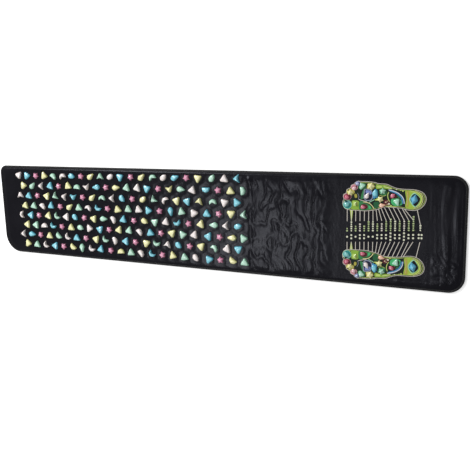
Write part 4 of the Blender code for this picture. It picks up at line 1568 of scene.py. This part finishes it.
class InkSheet:
    """Gathers flat printed shapes and makes them one thin closed piece."""

    def __init__(self, name: str, base: float) -> None:
        """Starts an empty print on a surface at some height."""
        self.name = name
        self.base = base
        self.shapes: list[tuple[Points, Ink, int]] = []

    def add(self, outline: Points, ink: Ink, level: int) -> None:
        """Adds a shape in one ink. A higher level lies over a lower one."""
        self.shapes.append((outline, ink, level))

    def build(self, thickness: float) -> bpy.types.Object:
        """Prints the shapes.

        Args:
            thickness: thickness of one pass of ink.

        Returns:
            The print, one object with a material for each ink.
        """
        passes = []
        for outline, ink, level in self.shapes:
            curve = bpy.data.curves.new("ink", "CURVE")
            curve.dimensions = "2D"
            curve.fill_mode = "BOTH"
            curve.extrude = thickness * (level + 1) / 2
            spline = curve.splines.new("POLY")
            spline.points.add(len(outline) - 1)
            for point, (x, y) in zip(spline.points, outline):
                point.co = (x, y, 0.0, 1.0)
            spline.use_cyclic_u = True
            printed = bpy.data.objects.new("ink", curve)
            bpy.context.collection.objects.link(printed)
            printed.location.z = self.base + curve.extrude
            select_only(printed)
            bpy.ops.object.convert(target="MESH")
            bpy.ops.object.transform_apply(location=True, rotation=True, scale=True)
            printed = bpy.context.object
            ink.finish().dress(printed)
            passes.append(printed)
        select_only(passes[0])
        for printed in passes:
            printed.select_set(True)
        if len(passes) > 1:
            bpy.ops.object.join()
        whole = bpy.context.object
        whole.name = self.name
        whole.data.name = self.name
        bpy.ops.object.mode_set(mode="EDIT")
        bpy.ops.mesh.select_all(action="SELECT")
        bpy.ops.mesh.remove_doubles(threshold=0.000001)
        bpy.ops.mesh.normals_make_consistent(inside=False)
        bpy.ops.object.mode_set(mode="OBJECT")
        return whole


class FootSide(Enum):
    """The two footprints: the right one lies at the far edge and the left one at the near edge."""

    RIGHT = 1
    LEFT = -1


HEEL_RIM = (
    (0.862, 0.232), (0.922, 0.165), (0.953, 0.03), (0.949, -0.13), (0.918, -0.265), (0.850, -0.350),
)


@dataclass
class Footprint:
    """One printed footprint with its zones and its stones."""

    plan: MatPlan
    side: FootSide
    length: float = 0.258
    width: float = 0.094
    edge_margin: float = 0.020
    shift: float = -0.0013
    stone_height: float = 0.0080
    ink_pass: float = 0.000025
    lobe_points: int = 24
    toe_ring: float = 0.0013
    rim_lines: tuple[tuple[float, Ink], ...] = (
        (0.0014, Ink.SHADOW), (0.0035, Ink.LEAF), (0.0049, Ink.DEEP_GREEN),
    )
    outline: tuple[tuple[float, float], ...] = (
        (0.005, -0.30), (0.030, -0.43), (0.090, -0.485), (0.17, -0.49), (0.23, -0.495), (0.31, -0.49),
        (0.396, -0.45), (0.437, -0.42), (0.493, -0.36), (0.54, -0.335), (0.61, -0.34), (0.714, -0.36),
        (0.783, -0.40), (0.853, -0.41), (0.915, -0.36), (0.956, -0.27), (0.984, -0.15), (0.993, 0.00),
        (0.970, 0.14), (0.925, 0.22), (0.853, 0.265), (0.714, 0.275), (0.645, 0.30), (0.59, 0.355),
        (0.534, 0.415), (0.437, 0.43), (0.396, 0.46), (0.32, 0.482), (0.235, 0.480), (0.192, 0.490),
        (0.160, 0.44), (0.148, 0.395), (0.112, 0.345), (0.103, 0.28), (0.090, 0.245), (0.058, 0.20),
        (0.050, 0.12), (0.042, 0.075), (0.016, 0.03), (0.011, -0.05), (0.020, -0.135), (0.009, -0.18),
    )
    toes: tuple[tuple[float, float, float, float, Ink, Ink], ...] = (
        (0.065, -0.305, 0.056, 0.145, Ink.MINT, Ink.TEAL),
        (0.064, -0.045, 0.050, 0.108, Ink.ROSE, Ink.CRIMSON),
        (0.104, 0.120, 0.050, 0.100, Ink.OLIVE, Ink.STRAW),
        (0.150, 0.275, 0.042, 0.098, Ink.ROSE, Ink.BLUSH),
        (0.193, 0.400, 0.034, 0.076, Ink.MIST, Ink.LAVENDER),
    )
    zones: tuple[tuple[Ink, int, tuple[tuple[float, float], ...]], ...] = (
        (Ink.LIME, 3, ((0.125, -0.17), (0.20, -0.17), (0.205, -0.30), (0.20, -0.45), (0.115, -0.45),
            (0.12, -0.30))),
        (Ink.LEAF, 4, ((0.135, -0.20), (0.153, -0.20), (0.153, -0.33), (0.135, -0.33))),
        (Ink.LEAF, 4, ((0.174, -0.19), (0.190, -0.19), (0.190, -0.31), (0.174, -0.31))),
        (Ink.GREEN, 3, ((0.215, -0.18), (0.29, -0.20), (0.35, -0.28), (0.37, -0.40), (0.31, -0.45),
            (0.215, -0.45))),
        (Ink.MAROON, 4, ((0.262, -0.26), (0.305, -0.29), (0.314, -0.38), (0.285, -0.43), (0.23, -0.42),
            (0.228, -0.31))),
        (Ink.EMERALD, 4, ((0.322, -0.32), (0.345, -0.33), (0.352, -0.39), (0.330, -0.42))),
        # Painted shade: the next three are dark patches on the right of the second, fourth and little toes'
        # stones.
        (Ink.MAROON, 5, ((0.082, 0.01), (0.106, -0.01), (0.110, -0.07), (0.092, -0.12), (0.080, -0.06))),
        (Ink.MAROON, 5, ((0.160, 0.245), (0.180, 0.26), (0.184, 0.31), (0.170, 0.335))),
        (Ink.NAVY, 5, ((0.200, 0.37), (0.214, 0.38), (0.216, 0.43), (0.204, 0.44))),
        (Ink.NAVY, 5, ((0.030, -0.165), (0.062, -0.175), (0.070, -0.205), (0.045, -0.215))),
        (Ink.SHADOW, 5, ((0.066, 0.150), (0.078, 0.145), (0.086, 0.185), (0.074, 0.195))),
        (Ink.FOREST, 3, ((0.388, -0.19), (0.440, -0.17), (0.452, -0.29), (0.43, -0.39), (0.395, -0.38),
            (0.384, -0.28))),
        (Ink.GREEN, 3, ((0.258, 0.20), (0.284, 0.19), (0.266, 0.05), (0.253, -0.09), (0.226, -0.09),
            (0.238, 0.06))),
        (Ink.OLIVE, 3, ((0.152, 0.05), (0.178, 0.045), (0.182, -0.055), (0.156, -0.06))),
        (Ink.MIST, 4, ((0.275, 0.230), (0.345, 0.215), (0.374, 0.09), (0.372, -0.06), (0.345, -0.145),
            (0.29, -0.150), (0.264, -0.05), (0.264, 0.09))),
        (Ink.NAVY, 5, ((0.283, 0.205), (0.340, 0.190), (0.365, 0.08), (0.363, -0.05), (0.340, -0.120),
            (0.295, -0.125), (0.273, -0.04), (0.274, 0.09))),
        (Ink.LAVENDER, 6, ((0.290, 0.190), (0.340, 0.175), (0.358, 0.085), (0.330, 0.05), (0.292, 0.09))),
        (Ink.GREEN, 3, ((0.207, 0.23), (0.272, 0.22), (0.290, 0.31), (0.28, 0.41), (0.228, 0.42),
            (0.202, 0.33))),
        # Painted light beside the ball's green stone: the mint on its left is a painted highlight, and the
        # deep green on its right is painted shade.
        (Ink.MINT, 4, ((0.210, 0.26), (0.232, 0.25), (0.232, 0.37), (0.214, 0.36))),
        (Ink.FOREST, 4, ((0.252, 0.26), (0.274, 0.27), (0.279, 0.37), (0.254, 0.39))),
        (Ink.OLIVE, 3, ((0.307, 0.235), (0.382, 0.245), (0.390, 0.33), (0.378, 0.41), (0.318, 0.42),
            (0.302, 0.33))),
        (Ink.AZURE, 3, ((0.373, 0.06), (0.381, 0.18), (0.405, 0.240), (0.430, 0.18), (0.435, 0.05),
            (0.423, -0.06), (0.400, -0.095), (0.378, -0.05))),
        (Ink.LIME, 3, ((0.412, 0.375), (0.50, 0.375), (0.553, 0.335), (0.60, 0.270), (0.55, 0.250),
            (0.47, 0.265), (0.415, 0.245))),
        (Ink.LEAF, 4, ((0.425, 0.345), (0.470, 0.350), (0.476, 0.295), (0.430, 0.285))),
        (Ink.GREEN, 3, ((0.452, 0.230), (0.522, 0.230), (0.536, 0.14), (0.525, 0.05), (0.472, 0.06),
            (0.450, 0.13))),
        (Ink.LEAF, 3, ((0.395, -0.055), (0.438, -0.045), (0.448, -0.12), (0.402, -0.125))),
        (Ink.MAROON, 3, ((0.508, -0.10), (0.555, -0.11), (0.580, -0.19), (0.568, -0.28), (0.522, -0.28),
            (0.503, -0.20))),
        (Ink.EMERALD, 3, ((0.60, -0.055), (0.66, -0.035), (0.698, -0.08), (0.722, -0.15),
            (0.715, -0.235), (0.66, -0.285), (0.608, -0.25), (0.588, -0.15))),
        # Painted shade: deep green under the right side of the heel's front stone.
        (Ink.FOREST, 4, ((0.668, -0.07), (0.700, -0.11), (0.703, -0.20), (0.676, -0.235), (0.662, -0.15))),
        (Ink.GREEN, 3, ((0.652, 0.10), (0.676, 0.075), (0.704, 0.0), (0.698, -0.04), (0.672, -0.01))),
        # Painted shade: maroon on the right of the waist's crimson stone.
        (Ink.MAROON, 4, ((0.615, 0.078), (0.642, 0.065), (0.656, 0.01), (0.638, -0.05), (0.620, -0.03))),
        (Ink.HEEL_GREEN, 3, ((0.752, 0.215), (0.80, 0.225), (0.87, 0.215), (0.925, 0.150), (0.955, 0.03),
            (0.950, -0.13), (0.92, -0.26), (0.86, -0.345), (0.79, -0.345), (0.755, -0.29), (0.765, -0.05))),
        (Ink.OLIVE, 4, ((0.762, 0.190), (0.798, 0.195), (0.800, -0.05), (0.790, -0.30), (0.766, -0.27),
            (0.774, -0.04))),
        # The mint under the heel stone shows mostly on its left; the near-black shape over it is a painted
        # shadow under the stone and to its right.
        (Ink.MINT, 4, ((0.856, 0.160), (0.905, 0.07), (0.925, -0.04), (0.905, -0.18), (0.868, -0.300),
            (0.822, -0.19), (0.800, -0.06), (0.820, 0.08))),
        (Ink.SHADOW, 5, ((0.860, 0.130), (0.902, 0.06), (0.924, -0.04), (0.904, -0.17), (0.870, -0.270),
            (0.838, -0.19), (0.812, -0.06), (0.828, 0.06))),
    )
    lines: tuple[tuple[Ink, int, float, tuple[tuple[float, float], ...]], ...] = (
        (Ink.WHITE, 5, 0.0014, ((0.020, -0.21), (0.035, -0.28), (0.062, -0.345))),
        (Ink.SKY, 5, 0.0012, ((0.045, -0.17), (0.072, -0.215), (0.100, -0.235))),
        (Ink.SHADOW, 4, 0.0050, ((0.262, -0.205), (0.322, -0.235), (0.356, -0.31), (0.380, -0.400))),
        (Ink.YELLOW, 5, 0.0022, ((0.260, -0.195), (0.325, -0.225), (0.362, -0.30), (0.388, -0.395))),
        (Ink.PALE, 5, 0.0017, ((0.205, -0.115), (0.245, -0.150), (0.305, -0.180))),
        (Ink.MINT, 5, 0.0020, ((0.330, -0.205), (0.352, -0.165), (0.392, -0.110))),
        (Ink.MIST, 4, 0.0010, ((0.190, 0.09), (0.206, -0.02), (0.196, -0.12))),
        (Ink.MINT, 4, 0.0010, ((0.292, 0.205), (0.278, 0.10), (0.258, -0.09))),
        (Ink.YELLOW, 5, 0.0018, ((0.500, 0.325), (0.550, 0.300), (0.598, 0.255))),
        (Ink.LEAF, 4, 0.0013, ((0.452, 0.045), (0.495, 0.020), (0.532, 0.060))),
        (Ink.LEAF, 4, 0.0014, ((0.530, -0.315), (0.590, -0.305), (0.650, -0.310))),
        (Ink.LEAF, 5, 0.0024, ((0.564, 0.175), (0.549, 0.06), (0.556, -0.06), (0.574, -0.150))),
        (Ink.NAVY, 5, 0.0095, ((0.562, 0.205), (0.615, 0.175), (0.668, 0.108), (0.707, 0.02),
            (0.727, -0.09), (0.733, -0.205))),
        (Ink.SKY, 6, 0.0028, ((0.560, 0.226), (0.617, 0.192), (0.674, 0.125), (0.716, 0.027),
            (0.737, -0.087), (0.743, -0.205))),
        (Ink.AZURE, 7, 0.0026, ((0.575, 0.192), (0.618, 0.160), (0.664, 0.098), (0.700, 0.015),
            (0.719, -0.09), (0.726, -0.200))),
        (Ink.WHITE, 8, 0.0011, ((0.560, 0.226), (0.617, 0.195), (0.676, 0.128), (0.719, 0.029),
            (0.740, -0.087))),
        (Ink.SHADOW, 4, 0.0034, HEEL_RIM),
        (Ink.YELLOW, 5, 0.0014, HEEL_RIM),
        (Ink.SAND, 5, 0.0009, ((0.777, 0.165), (0.781, 0.00), (0.776, -0.250))),
        (Ink.YELLOW, 4, 0.0010, ((0.815, 0.195), (0.880, 0.175), (0.925, 0.090), (0.937, -0.04),
            (0.915, -0.200), (0.860, -0.315))),
    )
    dots: tuple[tuple[Ink, float, float, float], ...] = (
        (Ink.SAND, 0.528, -0.175, 0.009), (Ink.BONE, 0.566, -0.225, 0.011), (Ink.SAND, 0.545, -0.140, 0.006),
        (Ink.SAND, 0.545, -0.245, 0.006), (Ink.LEAF, 0.590, -0.275, 0.008), (Ink.LEAF, 0.725, 0.205, 0.009),
        (Ink.LEAF, 0.700, 0.230, 0.007), (Ink.BONE, 0.650, 0.250, 0.006),
    )
    stones: dict[str, tuple[tuple[float, float], tuple[float, float], MouldKind, int, StoneColour]] = field(
        default_factory=lambda: {
            "big_toe": ((0.060, -0.300), (0.022, 0.018), MouldKind.EGG, 20, StoneColour.TEAL),
            "second_toe": ((0.060, -0.060), (0.017, 0.015), MouldKind.EGG, 0, StoneColour.CRIMSON),
            "third_toe": ((0.102, 0.100), (0.022, 0.022), MouldKind.STAR, 10, StoneColour.YELLOW),
            "fourth_toe": ((0.150, 0.245), (0.016, 0.014), MouldKind.EGG, 30, StoneColour.BLUSH),
            "little_toe": ((0.190, 0.400), (0.012, 0.011), MouldKind.EGG, 0, StoneColour.MIST),
            "ball_outer": ((0.243, 0.310), (0.021, 0.018), MouldKind.TRIANGLE, 250, StoneColour.GREEN),
            "ball_star": ((0.350, 0.330), (0.026, 0.026), MouldKind.STAR, 0, StoneColour.YELLOW),
            "ball_centre": ((0.306, 0.020), (0.022, 0.016), MouldKind.KITE, 60, StoneColour.WHITE),
            "ball_inner": ((0.260, -0.370), (0.018, 0.014), MouldKind.EGG, 0, StoneColour.CRIMSON),
            "toe_root": ((0.163, -0.266), (0.013, 0.016), MouldKind.HALF_MOON, 180, StoneColour.LIME),
            "arch_oval": ((0.401, 0.106), (0.024, 0.018), MouldKind.EGG, 80, StoneColour.CYAN),
            "arch_green_star": ((0.492, 0.180), (0.022, 0.022), MouldKind.STAR, 20, StoneColour.GREEN),
            "arch_yellow_star": ((0.465, -0.085), (0.022, 0.022), MouldKind.STAR, 50, StoneColour.YELLOW),
            "arch_inner": ((0.488, -0.282), (0.021, 0.016), MouldKind.KITE, 10, StoneColour.ORANGE),
            "waist": ((0.610, 0.043), (0.018, 0.015), MouldKind.EGG, 40, StoneColour.CRIMSON),
            "heel_front": ((0.661, -0.170), (0.023, 0.020), MouldKind.TRIANGLE, 290, StoneColour.GREEN),
            "heel": ((0.857, -0.053), (0.034, 0.024), MouldKind.DIAMOND, 75, StoneColour.BLUE),
        }
    )

    @property
    def word(self) -> str:
        """The side's name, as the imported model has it."""
        return self.side.name.lower()

    def point(self, along: float, across: float) -> tuple[float, float]:
        """Place of a point given as shares of the footprint's length and width."""
        centre = self.plan.half_width - self.edge_margin - self.width / 2
        foot = self.side.value
        return (self.plan.toe_x + along * self.length, foot * (centre + across * self.width) + self.shift)

    def loop(self, shares: tuple[tuple[float, float], ...], steps: int = 6) -> Points:
        """A smooth closed loop through points given as shares."""
        return smooth_loop([self.point(*share) for share in shares], steps)

    def line(self, shares: tuple[tuple[float, float], ...], width: float) -> Points:
        """Outline of a smooth line of some width through points given as shares."""
        return stroke(smooth_path([self.point(*share) for share in shares], 6), width)

    def stone_places(self) -> list[StonePlace]:
        """The footprint's stones."""
        places = []
        for zone, (share, size, kind, turn, colour) in self.stones.items():
            x, y = self.point(*share)
            name = f"{self.word}_{zone}_stone_{colour.word}"
            turned = self.side.value * math.radians(turn)
            places.append(StonePlace(name, kind, *size, colour, x, y, turned))
        return places

    def build(self) -> None:
        """Builds the film, the print on it and the stones."""
        for piece in (self.build_film(), self.build_print()):
            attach(piece, FOOT)
            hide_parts(f"{self.word}_footprint_film")
        LOG.info("%s footprint: film and print", self.word)
        self.build_stones()

    def build_film(self) -> bpy.types.Object:
        """The clear film that carries the print, with a pale printed rim."""
        low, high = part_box(f"{self.word}_footprint_film")
        sheet = InkSheet(f"{self.word}_footprint_film_sheet", low[2])
        sheet.add(self.loop(self.outline), Ink.PALE, 0)
        return sheet.build(thickness=high[2] - low[2])

    def build_print(self) -> bpy.types.Object:
        """The print: rim lines, toes, and the zones of the sole, among them patches of painted shade and
        painted highlight beside some stones.
        """
        sheet = InkSheet(f"{self.word}_footprint_print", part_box(f"{self.word}_footprint_film")[1][2])
        rim = self.loop(self.outline)
        for number, (inset, ink) in enumerate(self.rim_lines):
            sheet.add(inset_loop(rim, inset), ink, number)
        for along, across, half_along, half_across, ring, fill in self.toes:
            toe = self.lobe(along, across, half_along, half_across)
            sheet.add(toe, ring, 3)
            sheet.add(inset_loop(toe, self.toe_ring), fill, 4)
        for ink, level, shares in self.zones:
            sheet.add(self.loop(shares, 4), ink, level)
        for ink, level, width, shares in self.lines:
            sheet.add(self.line(shares, width), ink, level)
        for ink, along, across, reach in self.dots:
            sheet.add(self.lobe(along, across, reach, reach * self.length / self.width), ink, 6)
        return sheet.build(thickness=self.ink_pass)

    def lobe(
        self, along: float, across: float, half_along: float, half_across: float
    ) -> Points:
        """A round outline about a point, with its reach as shares."""
        turns = [FULL_TURN * i / self.lobe_points for i in range(self.lobe_points)]
        return [
            self.point(along + half_along * math.cos(turn), across + half_across * math.sin(turn))
            for turn in turns
        ]

    def build_stones(self) -> None:
        """Moulds the footprint's stones, each riveted through the cover."""
        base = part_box(f"{self.word}_footprint_film")[1][2] + UNDER_A_LAYER
        peg_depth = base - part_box("walk_foam")[1][2]
        for zone, stone in zip(self.stones, self.stone_places()):
            wall, crease, ring_shares = 0.0020, 24.0, ((0.94, 0.14),)
            if stone.kind is MouldKind.DIAMOND:
                wall, crease, ring_shares = 0.0014, 18.0, ((0.96, 0.08), (0.24, 0.96))
            mould = StoneMould(
                stone.kind, stone.length, stone.width, self.stone_height, peg_depth, riveted=True,
                lean=0.0010, corner=0.0014, wall=wall, crease=crease, ring_shares=ring_shares,
            ).build()
            piece = place_stone(mould, stone, base)
            bpy.data.objects.remove(mould, do_unlink=True)
            stone.colour.finish(base, base + self.stone_height).dress(piece)
            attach(piece, FOOT)
            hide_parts(f"{self.word}_{zone}_stone")
        LOG.info("%s footprint: %d stones", self.word, len(self.stones))


@dataclass
class Chart:
    """The chart between the footprints: leader lines, and columns of plain marks."""

    plan: MatPlan
    first_x: float = 0.0162
    step: float = 0.0136
    columns: int = 17
    last_gap: float = 0.007
    skew: float = 0.067
    lean: float = 0.021
    long_lean: float = 0.007
    line_width: float = 0.0019
    wedge_width: float = 0.0090
    far_end: float = 0.0325
    near_end: float = -0.0330
    last_end: float = 0.026
    dash_counts: tuple[int, ...] = (2, 5, 3, 4, 3, 5, 5, 4, 4, 5, 6, 5, 5, 5, 5, 7, 3)
    block_counts: tuple[int, ...] = (1, 2, 1, 2, 2, 1, 1, 2, 2, 2, 3, 2, 2, 3, 2, 2, 2)
    column_inks: tuple[Ink, ...] = (Ink.MOSS, Ink.BONE, Ink.MOSS, Ink.PALE, Ink.MOSS)
    dash_shares: tuple[float, ...] = (1.0, 0.68, 0.86)
    dash_width: float = 0.0058
    dash_height: float = 0.0046
    dash_pitch: float = 0.0068
    block_side: float = 0.0056
    block_pitch: float = 0.0102
    block_corner: float = 0.2
    blocks_y: float = -0.0168
    pair_share: float = 0.75
    lean_from: float = 5.5
    lean_over: float = 5.0
    rim_gap: float = 0.0006
    inner_edge: float = 0.060
    film_gap: float = 0.00002
    ink_pass: float = 0.00008

    def column_x(self, number: int) -> float:
        """Place of a column of marks along the mat."""
        x = self.plan.toe_x + self.first_x + number * self.step
        return x + (self.last_gap if number == self.columns - 1 else 0.0)

    def lift(self, number: int) -> float:
        """How far a column stands up or down, because the chart is printed a little askew."""
        return self.skew * (self.column_x(number) - self.column_x(self.columns // 2))

    def build(self, feet: list[Footprint]) -> None:
        """Prints the leader lines and the marks."""
        base = self.plan.cover_top + self.film_gap
        lines, marks = InkSheet("chart_leader_lines", base), InkSheet("chart_marks", base)
        for foot in feet:
            rim = np.array(foot.loop(foot.outline))
            from_edge = np.abs(rim[:, 1] - self.plan.half_width * foot.side.value)
            for number in range(self.columns):
                self.leader(lines, foot, rim[from_edge > self.inner_edge], number)
        for number in range(self.columns):
            self.mark_column(marks, number)
        for sheet in (lines, marks):
            printed = sheet.build(thickness=self.ink_pass)
            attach(printed, FOOT)
        LOG.info("chart: %d leader lines and %d columns of marks", 2 * self.columns, self.columns)

    def leader(self, sheet: InkSheet, foot: Footprint, inner: Array, number: int) -> None:
        """Prints one leader line from a footprint's inner edge to its column.

        Args:
            sheet: the print that the line goes on.
            foot: the footprint it starts from.
            inner: points of the footprint's inner edge.
            number: the column it leads to.
        """
        x = self.column_x(number)
        last = number == self.columns - 1
        lean = self.lean * float(fade(np.array(number - self.lean_from), self.lean_over))
        if last:
            lean = self.lean / 2
        elif number == self.columns - 2:
            lean += self.long_lean
        start_x = x - lean
        nearest = inner[np.argmin(np.abs(inner[:, 0] - start_x))]
        start_y = nearest[1] + foot.side.value * self.rim_gap
        end_y = (self.far_end if foot.side is FootSide.RIGHT else self.near_end) + self.lift(number)
        if last:
            end_y = self.last_end * foot.side.value
        sheet.add(stroke([(start_x, start_y), (x, end_y)], self.line_width), Ink.PALE, 1)
        if number == 1:
            broad, tip = self.wedge_width / 2, self.line_width / 2
            wedge = [(x - broad, start_y), (x + broad, start_y), (x + tip, end_y), (x - tip, end_y)]
            sheet.add(wedge, Ink.LEAF, 0)

    def mark_column(self, sheet: InkSheet, number: int) -> None:
        """Prints one column: small dashes in its upper part and one to three blocks below."""
        x = self.column_x(number)
        ink = self.column_inks[number % len(self.column_inks)]
        for dash in range(self.dash_counts[number]):
            wide = self.dash_width * self.dash_shares[(dash + number) % len(self.dash_shares)]
            y = self.lift(number) + dash * self.dash_pitch + self.dash_height / 2
            sheet.add(self.block(x, y, wide, self.dash_height), ink, 0)
        count = self.block_counts[number]
        pair = self.block_side * self.pair_share
        for place in (x - pair, x + pair) if number == self.columns - 1 else (x,):
            for block in range(count):
                y = self.blocks_y + self.lift(number) + (block - (count - 1) / 2) * self.block_pitch
                sheet.add(self.block(place, y, self.block_side, self.block_side), Ink.BONE, 0)

    def block(self, x: float, y: float, width: float, height: float) -> Points:
        """Outline of a small block with clipped corners."""
        w, h, c = width / 2, height / 2, min(width, height) * self.block_corner
        return [
            (x - w + c, y - h), (x + w - c, y - h), (x + w, y - h + c), (x + w, y + h - c),
            (x + w - c, y + h), (x - w + c, y + h), (x - w, y + h - c), (x - w, y - h + c),
        ]


# Studio


@dataclass(frozen=True)
class SoftLight:
    """A soft rectangular light."""

    name: str
    place: tuple[float, float, float]
    size: tuple[float, float]
    watts: float
    aimed: bool = False

    def hang(self) -> None:
        """Hangs the light, aimed at the mat's middle or else shining straight down."""
        light = bpy.data.lights.new(self.name, "AREA")
        light.shape = "RECTANGLE"
        light.size, light.size_y = self.size
        light.energy = self.watts
        lamp = bpy.data.objects.new(self.name, light)
        bpy.context.collection.objects.link(lamp)
        lamp.location = self.place
        if self.aimed:
            lamp.rotation_euler = (-Vector(self.place)).to_track_quat("-Z", "Y").to_euler()


@dataclass
class Studio:
    """Floor, lights, world and camera."""

    lights: tuple[SoftLight, ...] = (
        SoftLight("key_light", (-3.0, 2.7, 3.1), (1.6, 1.6), 185.0, aimed=True),
        SoftLight("band_light", (-0.88, -0.69, 2.4), (0.72, 1.00), 16.4),
        SoftLight("end_light", (0.60, -0.66, 2.4), (0.16, 0.60), 2.3),
    )
    floor_side: float = 14.0
    floor_gap: float = 0.0002
    floor_paint: str = "#F4F4F4"
    floor_glow: float = 0.45
    world_light: float = 0.32
    camera_place: tuple[float, float, float] = (1.1450355, 0.3956003, 1.9991671)
    camera_right: tuple[float, float, float] = (0.89664478, -0.02596254, -0.44198877)
    camera_down: tuple[float, float, float] = (0.06274320, -0.98075348, 0.18489432)
    lens_mm: float = 51.135
    sensor_mm: float = 36.0

    def build(self) -> None:
        """Builds the studio round the mat."""
        self.build_floor()
        self.build_world()
        for light in self.lights:
            light.hang()
        self.build_camera()
        bpy.context.scene.view_settings.view_transform = "Standard"

    def build_floor(self) -> None:
        """A plain pale floor, which keeps the mat's shadow and shows white beyond it."""
        bpy.ops.object.select_all(action="DESELECT")
        bpy.ops.mesh.primitive_plane_add(
            size=self.floor_side, location=(0.0, 0.0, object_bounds()[0][2] - self.floor_gap)
        )
        floor = bpy.context.object
        floor.name = "studio_floor"
        bpy.ops.object.transform_apply(location=True, rotation=True, scale=True)
        material = bpy.data.materials.new("studio_floor_paint")
        material.use_nodes = True
        tree = material.node_tree
        tree.nodes.clear()
        shader = add_node(
            tree, "ShaderNodeBsdfPrincipled", {"Base Color": linear(self.floor_paint), "Roughness": 0.9}
        )
        rays = add_node(tree, "ShaderNodeLightPath").outputs["Is Camera Ray"]
        lift = add_node(
            tree, "ShaderNodeMath", {0: rays, 1: self.floor_glow}, operation="MULTIPLY"
        ).outputs["Value"]
        glow = add_node(tree, "ShaderNodeEmission", {"Color": (1.0, 1.0, 1.0, 1.0), "Strength": lift})
        both = add_node(tree, "ShaderNodeAddShader", {0: shader.outputs["BSDF"], 1: glow.outputs["Emission"]})
        add_node(tree, "ShaderNodeOutputMaterial", {"Surface": both.outputs["Shader"]})
        floor.data.materials.append(material)
        floor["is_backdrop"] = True

    def build_world(self) -> None:
        """An even pale world, white to the camera."""
        world = bpy.data.worlds.new("studio_world")
        bpy.context.scene.world = world
        world.use_nodes = True
        tree = world.node_tree
        tree.nodes.clear()
        rays = add_node(tree, "ShaderNodeLightPath").outputs["Is Camera Ray"]
        strength = add_node(
            tree, "ShaderNodeMapRange", {"Value": rays, "To Min": self.world_light}
        ).outputs["Result"]
        sky = add_node(tree, "ShaderNodeBackground", {"Color": (1.0, 1.0, 1.0, 1.0), "Strength": strength})
        add_node(tree, "ShaderNodeOutputWorld", {"Surface": sky.outputs["Background"]})

    def build_camera(self) -> None:
        """The camera at the photograph's place, angle and lens."""
        data = bpy.data.cameras.new("mat_camera")
        data.lens = self.lens_mm
        data.sensor_width = self.sensor_mm
        data.clip_start = 0.05
        camera = bpy.data.objects.new("mat_camera", data)
        bpy.context.collection.objects.link(camera)
        right, up = Vector(self.camera_right), -Vector(self.camera_down)
        back = right.cross(up)
        turned = Matrix((right, up, back)).transposed().to_4x4()
        camera.matrix_world = Matrix.Translation(self.camera_place) @ turned
        bpy.context.scene.camera = camera


@dataclass
class MassageMat:
    """The whole mat, built from its plan. Each layer's mesh has a step for every stretch of its length."""

    plan: MatPlan
    cover_steps: tuple[float, ...] = (0.0048, 0.0025, 0.0060, 0.0035)
    foam_steps: tuple[float, ...] = (0.0070, 0.0035, 0.0060)
    lining_steps: tuple[float, ...] = (0.0120, 0.0030, 0.0120)
    margin: float = 0.01
    beyond: float = 1.0

    def build(self) -> None:
        """Builds every sub-assembly in order."""
        stone_field = StoneField(self.plan)
        rows = stone_field.layout()
        feet = [Footprint(self.plan, side) for side in FootSide]
        rivets = [stone for foot in feet for stone in foot.stone_places()]
        band = (self.plan.band_start - self.margin, self.plan.toe_x + self.margin)
        fold = (self.plan.fold_start - self.margin, self.plan.fold_end + self.margin)
        cover = CoverSheet(
            self.plan, "cover_sheet", *self.stretches(self.cover_steps, *band, self.plan.heel_x),
            stones=[stone for row in rows for stone in row],
        )
        self.finish_layer(cover.build(), LEATHERETTE, "cover", "leatherette")
        foam = FoamCore(
            self.plan, "foam_core", *self.stretches(self.foam_steps, *fold),
            cover=cover, rivets=rivets, rows=rows,
        )
        self.finish_layer(foam.build(), FOAM, "foam", "foam")
        lining = BackingLining(self.plan, "backing_lining", *self.stretches(self.lining_steps, *fold))
        self.finish_layer(lining.build(), LINING, "lining", "lining")
        EdgeBinding(self.plan).build()
        stone_field.build()
        for foot in feet:
            foot.build()
        Chart(self.plan).build(feet)

    def stretches(self, steps: tuple[float, ...], *ends: float) -> tuple[float, list[tuple[float, float]]]:
        """The step across the mat, and for each stretch along it its end and its step."""
        return steps[0], list(zip((*ends, self.beyond), steps))

    def finish_layer(
        self,
        obj: bpy.types.Object,
        finish: Finish,
        slot: str,
        kind: str,
    ) -> None:
        """Dresses a layer, bakes its place into its mesh and hides the imported parts it replaces.

        Args:
            obj: the layer's object.
            finish: what it is made of.
            slot: names the imported nodes that it replaces.
            kind: foam, or the kind of sheet it is.
        """
        finish.dress(obj)
        self.plan.across_fold(obj)
        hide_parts(f"walk_{slot}", f"fold_{slot}", f"foot_{slot}")
        if kind == "foam":
            return
        missing = sum(radius ** 2 * (1 - math.pi / 4) for _, _, radius in self.plan.corners())


def main() -> None:
    """Builds the mat and the studio round it."""
    logging.basicConfig(level=logging.INFO, format="%(message)s")
    MassageMat(MatPlan()).build()
    Studio().build()


if __name__ == "__main__":
    main()
